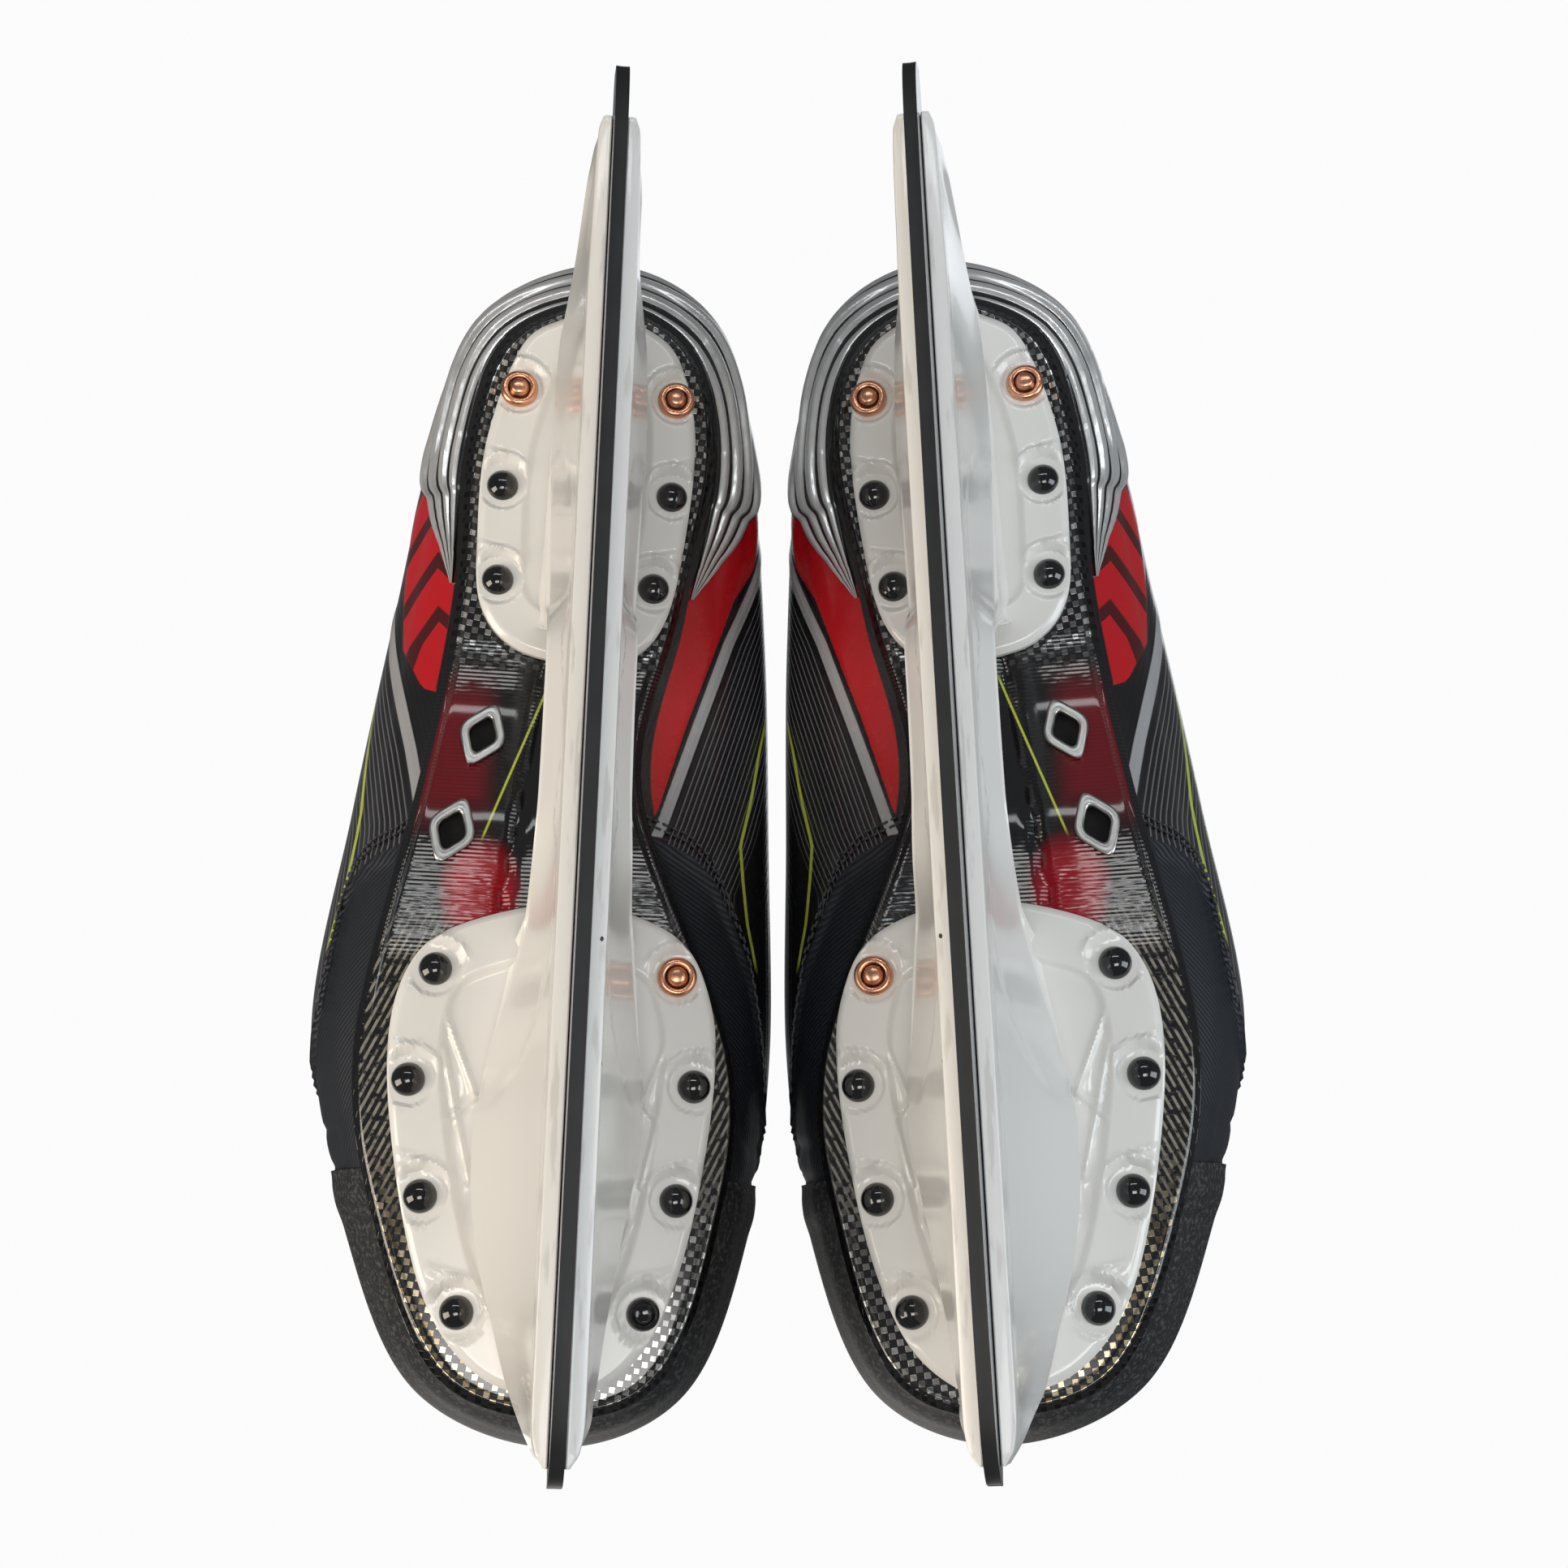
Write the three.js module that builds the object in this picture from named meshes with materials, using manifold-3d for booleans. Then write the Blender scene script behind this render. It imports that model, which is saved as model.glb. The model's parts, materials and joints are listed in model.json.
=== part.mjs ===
// A pair of ice hockey skates on their runners. Millimetres, +Z up, toes towards -Y, left skate at +X.
// Each skate is drawn as the left one: x to its outer side, y to its heel, z up from the ice.
import * as THREE from "three";
import { ParametricGeometry } from "three/addons/geometries/ParametricGeometry.js";
import { mergeVertices } from "three/addons/utils/BufferGeometryUtils.js";
import Module from "manifold-3d";

const wasm = await Module();
wasm.setup();

// ---- driving dimensions ----
const toeOut = 2; // degrees that each skate turns out at the toe
const leanOut = 8.2; // degrees that each skate leans away from the other, about its runner
const runnerLength = 300;
const runnerThickness = 2.95;
const runnerForward = 2; // how far the runner's middle lies behind the skate's own middle
const rockerRadius = 2743; // the nine foot hollow of the runner's bottom edge
const steelShown = 11; // runner below the holder
const runnerSunk = 8; // runner held inside the rail
const railHalf = 5.3; // half width of the rail that grips the runner
const beamTop = 31;
const frontDeck = 58; // underside of the front plate
const heelLift = 8; // how much higher the heel plate is
const plateThickness = 3.4;
const rivetHeadRadius = 3.6;
const copperHeadRadius = 4.4;
const rivetShankRadius = 1.9;
const rivetHeadHeight = 2.4;
const clinchHeight = 1;
const clinchRadius = 3.3;
const soleThickness = 2.8;
const ventFlange = 8.4; // half lengths of a vent's grommet: its flange, its sleeve and its mouth
const ventSleeve = 6.4;
const ventMouth = 4.9;
const bootLength = 281;
const bootWidth = 105;
const collarHeight = 142; // collar edge above the heel plate
const wall = 2.6; // boot shell
const linerThickness = 4;
const footbedThickness = 4;
const toeCapThickness = 1.4;
const counterThickness = 1.3;
const tongueThickness = 6;
const flapHeight = 58;
const flapThickness = 7;
const guardHeight = 56;
const guardThickness = 5;
const laceRadius = 1.4;
const laceRows = 9;
const triggerWidth = 6;
const pinRadius = 1.5;
const pinHalf = 8.5;

// ---- clearances ----
const gap = 0.3; // between pieces that touch or are cut to fit
const slideGap = 0.4; // round what slides or turns
const pairGap = 4.6; // between the two boots, station to station
const swingGap = 0.5; // at the foot of the tongue flap and the tendon guard

// ---- what follows from them ----
const heelDeck = frontDeck + heelLift;
const frontSole = frontDeck + plateThickness + gap;
const heelSole = heelDeck + plateThickness + gap;
const runnerToe = runnerForward - runnerLength / 2;
const runnerHeel = runnerForward + runnerLength / 2;
const railBottom = steelShown;
const runnerTop = railBottom + runnerSunk;
const alongLast = bootLength / 281;
const acrossLast = bootWidth / 105;
const floorLift = clinchHeight + 2 * gap; // lining above the sole, over the rivets' clinched ends

const smooth = (t) => t * t * (3 - 2 * t);
const ramp = (value, from, to) => smooth(Math.min(1, Math.max(0, (value - from) / (to - from))));
const lerp = (a, b, t) => a + (b - a) * t;
const soleHeight = (y) => lerp(frontSole, heelSole, ramp(y / alongLast, -18, 27));

// ---- solids ----
// A closed geometry as a solid, with its faces turned outwards whichever way round they were drawn.
function solidOf(geometry) {
  geometry.deleteAttribute("normal");
  geometry.deleteAttribute("uv");
  const merged = mergeVertices(geometry, 1e-3);
  const kept = [];
  const index = merged.index.array;
  for (let i = 0; i < index.length; i += 3) {
    const [a, b, c] = index.slice(i, i + 3);
    if (a !== b && b !== c && a !== c) kept.push(a, b, c);
  }
  const vertProperties = merged.attributes.position.array;
  const made = (triVerts) => new wasm.Manifold(new wasm.Mesh({ numProp: 3, vertProperties, triVerts }));
  const solid = made(new Uint32Array(kept));
  return solid.volume() > 0 ? solid : made(new Uint32Array(kept.reverse()));
}

function geometryOf(solid) {
  const mesh = solid.getMesh();
  const positions = new Float32Array(mesh.numVert * 3);
  for (let i = 0; i < mesh.numVert; i++)
    positions.set(mesh.vertProperties.subarray(i * mesh.numProp, i * mesh.numProp + 3), i * 3);
  return new THREE.BufferGeometry()
    .setAttribute("position", new THREE.BufferAttribute(positions, 3))
    .setIndex(new THREE.BufferAttribute(mesh.triVerts, 1));
}

// A closed stack of loops: loop(u, v) gives a point of the loop at height share v, and the first and last
// loops are closed by drawing them in to the line midway between their two sides.
function stackSolid(loop, around, levels) {
  const share = (stack) => Math.min(levels, Math.max(0, stack - 1)) / levels;
  const point = (u, v, target) => {
    const stack = Math.round(v * (levels + 2));
    const here = loop(u % 1, share(stack));
    if (stack === 0 || stack === levels + 2) {
      const across = loop((1 - u) % 1, share(stack));
      here.add(across).multiplyScalar(0.5);
    }
    target.copy(here);
  };
  return solidOf(new ParametricGeometry(point, around, levels + 2));
}

function box(x0, x1, y0, y1, z0, z1) {
  const geometry = new THREE.BoxGeometry(x1 - x0, y1 - y0, z1 - z0);
  return solidOf(geometry.translate((x0 + x1) / 2, (y0 + y1) / 2, (z0 + z1) / 2));
}

// A plan outline, given as x, y points, from z0 to z1.
function slab(outline, z0, z1) {
  const shape = new THREE.Shape(outline.map(([x, y]) => new THREE.Vector2(x, y)));
  const geometry = new THREE.ExtrudeGeometry(shape, { depth: z1 - z0, bevelEnabled: false });
  return solidOf(geometry.translate(0, 0, z0));
}

// A side profile, given as y, z points, of the given width about x = 0.
function sideSolid(profile, width) {
  const shape = new THREE.Shape(profile.map(([y, z]) => new THREE.Vector2(y, z)));
  const geometry = new THREE.ExtrudeGeometry(shape, { depth: width, bevelEnabled: false });
  geometry.translate(0, 0, -width / 2);
  geometry.applyMatrix4(new THREE.Matrix4().set(0, 0, 1, 0, 1, 0, 0, 0, 0, 1, 0, 0, 0, 0, 0, 1));
  return solidOf(geometry);
}

function turned(profile, sides) {
  const points = profile.map(([r, z]) => new THREE.Vector2(r, z));
  return solidOf(new THREE.LatheGeometry(points, sides).rotateX(Math.PI / 2));
}

function rodAcross(radius, halfWidth, y, z) {
  const geometry = new THREE.CylinderGeometry(radius, radius, 2 * halfWidth, 12);
  return solidOf(geometry.rotateZ(Math.PI / 2).translate(0, y, z));
}

// ---- the boot's form: loops of sixteen stations, from the toe round the outer side, heel and inner side ----
const last = (rows) => rows.map(([x, y, z]) => new THREE.Vector3(x * acrossLast, y * alongLast, z));
const loopCurve = (points) => new THREE.CatmullRomCurve3(points, true, "catmullrom", 0.5);
const solePlan = [
  [-1, -137], [24, -129], [39, -98], [46, -59], [36, 0], [30, 45], [29, 85], [21, 111],
  [-1, 121], [-21, 111], [-27.5, 85], [-21, 45], [-14, 0], [-36, -59], [-34, -98], [-23, -129],
];
const broadPlan = [
  [-2, -144], [29, -132], [46, -98], [57, -54], [52, -2], [46, 45], [39, 88], [28, 122],
  [-2, 137], [-29, 124], [-40, 88], [-45.5, 45], [-47.5, -2], [-48, -54], [-43, -98], [-30, -132],
];
const upperPlan = [
  [-2, -138], [22, -125], [33, -95], [40, -54], [38, 0], [39, 42], [37, 80], [25, 113],
  [-2, 127], [-27, 113], [-38, 80], [-40, 42], [-38, 0], [-37, -54], [-32, -95], [-23, -125],
];
const edgePlan = [
  [-2, -124], [-2, -112], [-2, -90], [13, -60], [19, -4], [25, 42], [35, 80], [24, 109],
  [-2, 121], [-26, 109], [-36, 80], [-27, 42], [-22, -4], [-15, -60], [-2, -90], [-2, -112],
];
const mirrorStations = (half) => [...half, ...half.slice(1, -1).reverse()];
const broadRise = mirrorStations([26, 26, 28, 32, 38, 40, 34, 30, 30]);
const upperRise = mirrorStations([41, 44, 48, 61, 82, 93, 88, 86, 84]);
const collar = collarHeight + heelLift;
const edgeRise = mirrorStations([50, 52, 58, 70, 104, collar - 6, collar - 10, collar - 6, collar - 3]);

const deck = frontSole;
const soleLoop = last(solePlan).map((p) => p.setZ(soleHeight(p.y) + soleThickness + gap));
const raised = (plan, rise) => last(plan.map(([x, y], i) => [x, y, deck + rise[i]]));
const broadLoop = raised(broadPlan, broadRise);
const upperLoop = raised(upperPlan, upperRise);
const edgeLoop = raised(edgePlan, edgeRise);
const flareLoop = soleLoop.map((p, i) => {
  const q = broadLoop[i];
  return new THREE.Vector3(lerp(p.x, q.x, 0.66), lerp(p.y, q.y, 0.66), lerp(p.z, q.z, 0.4));
});
const bootLoops = [soleLoop, flareLoop, broadLoop, upperLoop, edgeLoop].map(loopCurve);

// A point of a loop, moved inwards in plan by inset.
function insetPoint(curve, u, inset) {
  const ahead = curve.getPoint((u + 0.004) % 1);
  const behind = curve.getPoint((u + 0.996) % 1);
  const along = ahead.sub(behind);
  const length = Math.hypot(along.x, along.y) || 1;
  const point = curve.getPoint(u);
  point.x -= (inset * along.y) / length;
  point.y += (inset * along.x) / length;
  return point;
}

// A point of the sole's outline, on the sole's upper face.
function solePoint(u, inset) {
  const point = insetPoint(bootLoops[0], u, inset);
  point.z = soleHeight(bootLoops[0].getPoint(u).y) + soleThickness;
  return point;
}

// Over the toe the two sides of the edge loop meet in a ridge, which keeps its place in plan.
const besideRidge = (u) => ramp(8 - Math.abs(u * 16 - 8), 2, 3);

// The boot's form, moved inwards by inset, with its bottom raised by lift.
function bootForm(inset, lift) {
  const loop = (u, v) => {
    const points = bootLoops.map((curve, level) =>
      insetPoint(curve, u, level === 4 ? inset * besideRidge(u) : inset));
    points[0].z = solePoint(u, 0).z + gap;
    const point = new THREE.CatmullRomCurve3(points, false, "catmullrom", 0.5).getPoint(v);
    point.z += lift * (1 - v) ** 4 - inset * v ** 3;
    return point;
  };
  return stackSolid(loop, 28, 6);
}

// What is cut away to open the throat and the collar: inside the edge loop from throatStart, up to well above it.
const throatStart = 2.9 / 16;
function throatCut(inset, below) {
  const loop = (u, v) => {
    const edge = bootLoops[4];
    const start = insetPoint(edge, throatStart, inset);
    const end = insetPoint(edge, 1 - throatStart, inset);
    const point = u === 0 ? start.add(end).multiplyScalar(0.5)
      : insetPoint(edge, lerp(throatStart, 1 - throatStart, (u - 1 / 22) / (1 - 2 / 22)), inset);
    point.z += lerp(-below, 90, v);
    return point;
  };
  return stackSolid(loop, 22, 1);
}

// ---- runner, holder and release ----
const bottomAt = (y) => rockerRadius - Math.sqrt(rockerRadius ** 2 - (y - runnerForward) ** 2);
const tabTop = heelDeck - 24;
const rearTab = [78, 98].map((y) => y * alongLast);
const frontTab = [-98, -76].map((y) => y * alongLast);

function runnerProfile(grow) {
  const flat = 24;
  const bottom = [-100, -60, -flat, flat, 60, 100].map((y) => [
    y + runnerForward,
    Math.abs(y) <= flat ? 0 : bottomAt(y + runnerForward) - bottomAt(flat + runnerForward) / 2,
  ]);
  const toe = [[runnerToe, 17.5], [runnerToe + 1, 12], [runnerToe + 5, 7.5], [runnerToe + 13, 4.2]];
  const heel = [[runnerHeel - 24, 3.6], [runnerHeel - 10, 5.6], [runnerHeel - 2, 9.5], [runnerHeel, 15.5]];
  const top = [
    [runnerHeel - 3, runnerTop - 1 + grow], [rearTab[1] + 4 + grow, runnerTop + grow],
    [rearTab[1] + grow, tabTop + grow], [rearTab[0] - grow, tabTop + grow],
    [rearTab[0] - 4 - grow, runnerTop + grow], [frontTab[1] + 4 + grow, runnerTop + grow],
    [frontTab[1] + grow, tabTop - heelLift + grow], [frontTab[0] - grow, tabTop - heelLift + grow],
    [frontTab[0] - 4 - grow, runnerTop + grow], [runnerToe + 3, runnerTop + grow],
  ];
  return [...toe, ...bottom, ...heel, ...top];
}

const runner = () => sideSolid(runnerProfile(0), runnerThickness);

// The slot is the runner's outline, opened straight down, so that the runner can drop out.
function runnerSlot() {
  const width = runnerThickness + 2 * gap;
  const low = [[runnerToe - 9, -1], [runnerHeel + 9, -1]];
  const top = runnerProfile(slideGap).slice(-10);
  top[0] = [runnerHeel + 9, runnerTop + slideGap];
  top[9] = [runnerToe - 9, runnerTop + slideGap];
  return sideSolid([...low, ...top], width);
}

const triggerPivot = [55 * alongLast, heelDeck - 13];
const triggerProfile = () => {
  const [y, z] = triggerPivot;
  const noseEnd = rearTab[0] - 4 - 1.2;
  return [
    [y - 17, z - 19], [y - 13, z - 20], [y - 9, z - 6], [y - 2, z - 4.5], [noseEnd - 2, z - 13],
    [noseEnd, z - 12], [noseEnd - 1, z - 5], [y + 3, z + 3.5], [y - 3, z + 4], [y - 14, z - 3],
  ];
};
const pinHole = () => rodAcross(pinRadius + gap, 2 * triggerWidth, triggerPivot[0], triggerPivot[1]);
const trigger = () => sideSolid(triggerProfile(), triggerWidth).subtract(pinHole());
const triggerPin = () => rodAcross(pinRadius, pinHalf, triggerPivot[0], triggerPivot[1]);

function triggerRecess() {
  const [y, z] = triggerPivot;
  const width = triggerWidth + 2 * slideGap;
  const profile = [
    [y - 34, z - 24], [y - 4, z - 24], [rearTab[0] - 2, z - 17], [rearTab[0] - 2, z + 2], [y + 6, z + 6.5],
    [y - 34, z + 6.5],
  ];
  return sideSolid(profile, width).add(rodAcross(pinRadius + gap, pinHalf + gap, y, z));
}

// Holder sections from toe to heel: y, top, share of the rail's half width, then half widths of the beam, of the
// tower's middle on its outer and inner side, and of the tower's top on its outer and inner side.
const towerSections = [
  [-144, 17, 0.47, 3, 2.6, 2.6, 2.4, 2.4],
  [-141, 24, 0.87, 5.6, 4.6, 4.6, 3.6, 3.6],
  [-136, 38, 1, 7, 6.6, 6.6, 5.2, 5.2],
  [-130, 58.6, 1, 8, 9, 8.6, 8.6, 8],
  [-118, 58.6, 1, 9, 13, 10, 14, 11.5],
  [-100, 58.6, 1, 9.6, 17.5, 12.5, 20, 16],
  [-80, 58.6, 1, 10, 19.5, 15.5, 22, 19],
  [-58, 58.6, 1, 10.3, 17, 15.5, 20, 18],
  [-38, 58.6, 1, 10.5, 12.5, 12.5, 15, 14],
  [-30, 51, 1, 10.4, 10.6, 10.8, 10, 10],
  [-20, 39, 1, 10.2, 10, 10, 8.5, 8.5],
  [-6, 31.5, 1, 10, 9.6, 9.6, 8, 8],
  [14, 31, 1, 10, 9.6, 9.6, 8, 8],
  [24, 35, 1, 10, 9.8, 9.8, 8.2, 8.2],
  [34, 48, 1, 10, 10, 10, 9.4, 9.4],
  [42, 66.6, 1, 10, 10.6, 10.4, 13, 10.8],
  [60, 66.6, 1, 10, 11, 10.6, 14, 11.2],
  [78, 66.6, 1, 10, 11, 11, 14, 13.4],
  [104, 66.6, 1, 9.4, 10, 9.6, 12, 11],
  [118, 60, 1, 8, 8.2, 7.8, 7, 7],
  [130, 38, 0.96, 6.2, 6.2, 6.2, 5, 5],
  [139, 22, 0.9, 5.2, 4.9, 4.9, 4.2, 4.2],
  [142, 17, 0.68, 3.8, 3.4, 3.4, 3, 3],
];

function sectionPlace(y) {
  const scaled = y * alongLast;
  if (y < -120) return lerp(runnerToe + 4, -120 * alongLast, (y + 144) / 24);
  if (y > 118) return lerp(118 * alongLast, runnerHeel - 10, (y - 118) / 24);
  return scaled;
}

// Heights in the sections are drawn for the front deck at 58 and follow the real decks.
function sectionHeight(z) {
  if (z <= 31) return lerp(railBottom, beamTop, (z - 11) / 20);
  return z > 58.6 ? heelDeck + (z - 66) : lerp(beamTop, frontDeck, (z - 31) / 27);
}

function sectionPoints([y, top, railShare, beam, outerMid, innerMid, outerTop, innerTop]) {
  const rail = railShare * railHalf;
  const high = sectionHeight(top);
  const middle = lerp(Math.min(high, beamTop), high, 0.55);
  const side = (mid, crown) => [
    [rail - 1, railBottom], [rail, railBottom + 1.5], [rail, Math.min(railBottom + 6, high - 4)],
    [beam, Math.min(beamTop - 6, high - 2)], [Math.min(beam, mid + 0.6), Math.min(beamTop - 2, high - 1.2)],
    [Math.min(mid, Math.max(beam, mid)), Math.max(middle, high - 16)], [crown, high],
  ];
  const outer = side(outerMid, outerTop);
  const inner = side(innerMid, innerTop).map(([x, z]) => [-x, z]);
  return [...outer, ...inner.reverse()].map(([x, z]) => new THREE.Vector3(x, sectionPlace(y), z));
}

// The tower body is a loft whose sections stand across the skate.
function holderBody() {
  const sections = towerSections.map(sectionPoints);
  const count = sections[0].length;
  const loop = (u, v) => sections[Math.round(v * (sections.length - 1))][Math.round(u * count) % count].clone();
  const point = (u, v, target) => {
    const stack = Math.round(v * (sections.length + 1));
    const row = Math.min(sections.length - 1, Math.max(0, stack - 1)) / (sections.length - 1);
    const here = loop(u % 1, row);
    if (stack === 0 || stack === sections.length + 1) {
      const column = Math.round((u % 1) * count) % count;
      here.add(sections[Math.round(row * (sections.length - 1))][count - 1 - column]).multiplyScalar(0.5);
    }
    target.copy(here);
  };
  return solidOf(new ParametricGeometry(point, count, sections.length + 1));
}

const platePlan = (rows) => {
  const points = rows.map(([x, y]) => new THREE.Vector3(x * acrossLast, y * alongLast, 0));
  return loopCurve(points).getPoints(28).slice(0, -1).map((p) => [p.x, p.y]);
};
const frontPlatePlan = platePlan([
  [0, -132.5], [15, -128.5], [26.6, -115], [34, -92], [38.5, -62], [35.5, -43], [25, -33], [0, -27],
  [-22, -33], [-30.5, -47], [-32, -66], [-28, -97], [-21, -119], [-11, -130],
]);
const heelPlatePlan = platePlan([
  [0, 31], [16, 34], [24.5, 44], [26, 62], [25, 84], [18.5, 107], [10, 114.5], [0, 117],
  [-10, 114.5], [-18.5, 107], [-23, 88], [-21.5, 62], [-18, 43], [-11, 33.5],
]);

const frontRivets = [
  ["outer_1", 29.7, -42.5], ["outer_2", 34.1, -66.8], ["outer_3", 30, -91.6], ["outer_4", 20.9, -115.7],
  ["inner_1", -23.3, -42.1, "copper"], ["inner_2", -28, -66], ["inner_3", -25, -90.8], ["inner_4", -18.8, -115],
];
const heelRivets = [
  ["outer_1", 18.6, 96.6, "copper"], ["outer_2", 21.2, 72.6], ["outer_3", 21.1, 49.6],
  ["inner_1", -18.5, 96.6, "copper"], ["inner_2", -18.4, 72.6], ["inner_3", -15, 49.8],
];
const rivetPlaces = [
  ...frontRivets.map(([name, x, y, metal]) => ({ name: "front_rivet_" + name, x, y, metal, z: frontDeck })),
  ...heelRivets.map(([name, x, y, metal]) => ({ name: "heel_rivet_" + name, x, y, metal, z: heelDeck })),
].map((rivet) => ({ ...rivet, x: rivet.x * acrossLast, y: rivet.y * alongLast }));

function rivet({ x, y, z, metal }) {
  const head = metal ? copperHeadRadius : rivetHeadRadius;
  const top = soleHeight(y) + soleThickness + gap - z;
  const profile = [
    [0, -rivetHeadHeight], [head * 0.7, -rivetHeadHeight * 0.75], [head, -gap], [rivetShankRadius, -gap],
    [rivetShankRadius, top], [clinchRadius, top], [clinchRadius - 0.2, top + clinchHeight], [0, top + clinchHeight],
  ];
  return turned(profile, 8).translate([x, y, z]);
}

function rivetHoles() {
  const holes = rivetPlaces.map(({ x, y, z }) => {
    const geometry = new THREE.CylinderGeometry(rivetShankRadius + gap, rivetShankRadius + gap, 16, 8);
    return solidOf(geometry.rotateX(Math.PI / 2).translate(x, y, z + 5));
  });
  return holes.reduce((all, hole) => all.add(hole));
}

function holder() {
  const front = slab(frontPlatePlan, frontDeck, frontDeck + plateThickness);
  const heel = slab(heelPlatePlan, heelDeck, heelDeck + plateThickness);
  const body = holderBody().add(front).add(heel);
  return body.subtract(runnerSlot()).subtract(triggerRecess()).subtract(rivetHoles());
}

// ---- sole, vents and boot ----
const ventPlaces = [
  ["vent_rear", 22.5, 12.6], ["vent_front", 28, -11],
];
const rhombus = [[0.35, -1], [0.66, 0.25], [-0.35, 1], [-0.66, -0.25]];
const ventPlan = (x, y, half) =>
  rhombus.map(([dx, dy]) => [x * acrossLast + dx * half, y * alongLast + dy * half]);

const ventSlope = (y) => (soleHeight(y * alongLast + 5) - soleHeight(y * alongLast - 5)) / 10;
// The hole leaves room for the sleeve, which leans with the arch.
const ventHole = (x, y) => {
  const half = ventSleeve + 2 * gap + ventSlope(y) * soleThickness;
  return slab(ventPlan(x, y, half), frontSole - 12, heelSole + 20);
};

// A vent's grommet is drawn flat and then tilted to the slope of the arch.
function vent([, x, y]) {
  const flange = slab(ventPlan(0, 0, ventFlange), -1.2 - gap, -gap);
  const sleeve = slab(ventPlan(0, 0, ventSleeve), -gap - 0.1, soleThickness);
  const grommet = flange.add(sleeve).subtract(slab(ventPlan(0, 0, ventMouth), -9, 9));
  const middle = y * alongLast;
  return grommet
    .rotate([THREE.MathUtils.radToDeg(Math.atan(ventSlope(y))), 0, 0])
    .translate([x * acrossLast, middle, soleHeight(middle) - gap]);
}

function outsole() {
  const loop = (u, v) => {
    const point = solePoint(u, v < 0.5 ? 0.4 : -1);
    point.z -= (1 - v) * soleThickness;
    return point;
  };
  const plate = stackSolid(loop, 40, 1).subtract(rivetHoles());
  return ventPlaces.reduce((sole, [, x, y]) => sole.subtract(ventHole(x, y)), plate);
}

const shellInside = wall + gap;
const linerInside = shellInside + linerThickness;

function bootShell() {
  const cavity = bootForm(wall, -4);
  return bootForm(0, 0).subtract(cavity).subtract(throatCut(wall, wall + 4));
}

function liner() {
  const outside = bootForm(shellInside, floorLift);
  const inside = bootForm(linerInside, floorLift + 3);
  return outside.subtract(inside).subtract(throatCut(linerInside, linerInside + 6));
}

function footbed() {
  const loop = (u, v) => {
    const point = solePoint(u, linerInside + 4 * gap);
    point.z += floorLift + 4 + v * footbedThickness;
    return point;
  };
  return stackSolid(loop, 28, 1);
}

const overlay = (thickness) => bootForm(-gap - thickness, 0).subtract(bootForm(-gap, -4));

function toeCap() {
  const reach = box(-90, 90, -180, -86 * alongLast, frontSole + soleThickness + 1, 200);
  return overlay(toeCapThickness).intersect(reach);
}

function heelCounter() {
  const y = (value) => value * alongLast;
  const top = heelSole + 58;
  const bottom = heelSole + soleThickness + 1;
  const profile = [[y(34), bottom], [y(170), bottom], [y(170), top], [y(96), top], [y(60), top - 30]];
  return overlay(counterThickness).intersect(sideSolid(profile, 200));
}

// ---- tongue, flap, guard and lace ----
const edgeAt = (station) => bootLoops[4].getPoint((station % 16) / 16);

// The tongue fills the throat: its cross sections are ruled between the two edges, a little below them.
function tongue() {
  const rows = 12;
  const section = [
    [1, -0.2], [0.55, 0.5], [0, 0.8], [-0.55, 0.5], [-1, -0.2], [-0.55, -1.4], [0, -1.6], [0.55, -1.4],
  ];
  const loop = (u, v) => {
    const station = lerp(3.0, 5.0, v);
    const outer = edgeAt(station);
    const inner = edgeAt(16 - station);
    const [side, rise] = section[Math.round(u * 8) % 8];
    const half = (outer.x - inner.x) / 2 - wall - linerThickness - gap - 1.2;
    const middle = outer.clone().add(inner).multiplyScalar(0.5);
    const drop = tongueThickness / 2;
    return new THREE.Vector3(middle.x + side * half, middle.y - rise * drop * 0.5, middle.z + rise * drop - drop);
  };
  const across = [0, 7, 6, 5, 4, 3, 2, 1];
  const point = (u, v, target) => {
    const stack = Math.round(v * (rows + 2));
    const row = Math.min(rows, Math.max(0, stack - 1)) / rows;
    const here = loop(u % 1, row);
    if (stack === 0 || stack === rows + 2)
      here.add(loop(across[Math.round(u * 8) % 8] / 8, row)).multiplyScalar(0.5);
    target.copy(here);
  };
  return solidOf(new ParametricGeometry(point, 8, rows + 2));
}

// A curved panel that stands on an edge: its plan is an arc, and it rises from its foot to its top.
function panel({ centreY, footZ, height, lean, halfFoot, halfTop, bow, thickness }) {
  const columns = 8;
  const loop = (u, v) => {
    const step = Math.round(u * 2 * columns) % (2 * columns);
    const back = step > columns;
    const side = back ? (2 * step) / columns - 3 : 1 - (2 * step) / columns;
    const half = lerp(halfFoot, halfTop, v) * (v > 0.9 ? 0.8 : 1);
    const front = bow * side * side;
    const y = centreY + lean * v * height + front + (back ? thickness : 0);
    return new THREE.Vector3(side * half, y, footZ + height * v);
  };
  const ends = (u) => {
    const step = Math.round(u * 2 * columns) % (2 * columns);
    return ((2 * columns - step) % (2 * columns)) / (2 * columns);
  };
  const levels = 6;
  const point = (u, v, target) => {
    const stack = Math.round(v * (levels + 2));
    const row = Math.min(levels, Math.max(0, stack - 1)) / levels;
    const here = loop(u % 1, row);
    if (stack === 0 || stack === levels + 2) here.add(loop(ends(u % 1), row)).multiplyScalar(0.5);
    target.copy(here);
  };
  return solidOf(new ParametricGeometry(point, 2 * columns, levels + 2));
}

const flapFoot = () => {
  const outer = edgeAt(5);
  const inner = edgeAt(11);
  return outer.add(inner).multiplyScalar(0.5);
};

function tongueFlap() {
  const foot = flapFoot();
  return panel({
    centreY: foot.y - 8, footZ: foot.z + swingGap - gap, height: flapHeight, lean: -0.12,
    halfFoot: 20, halfTop: 27, bow: 9, thickness: flapThickness,
  });
}

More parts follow.
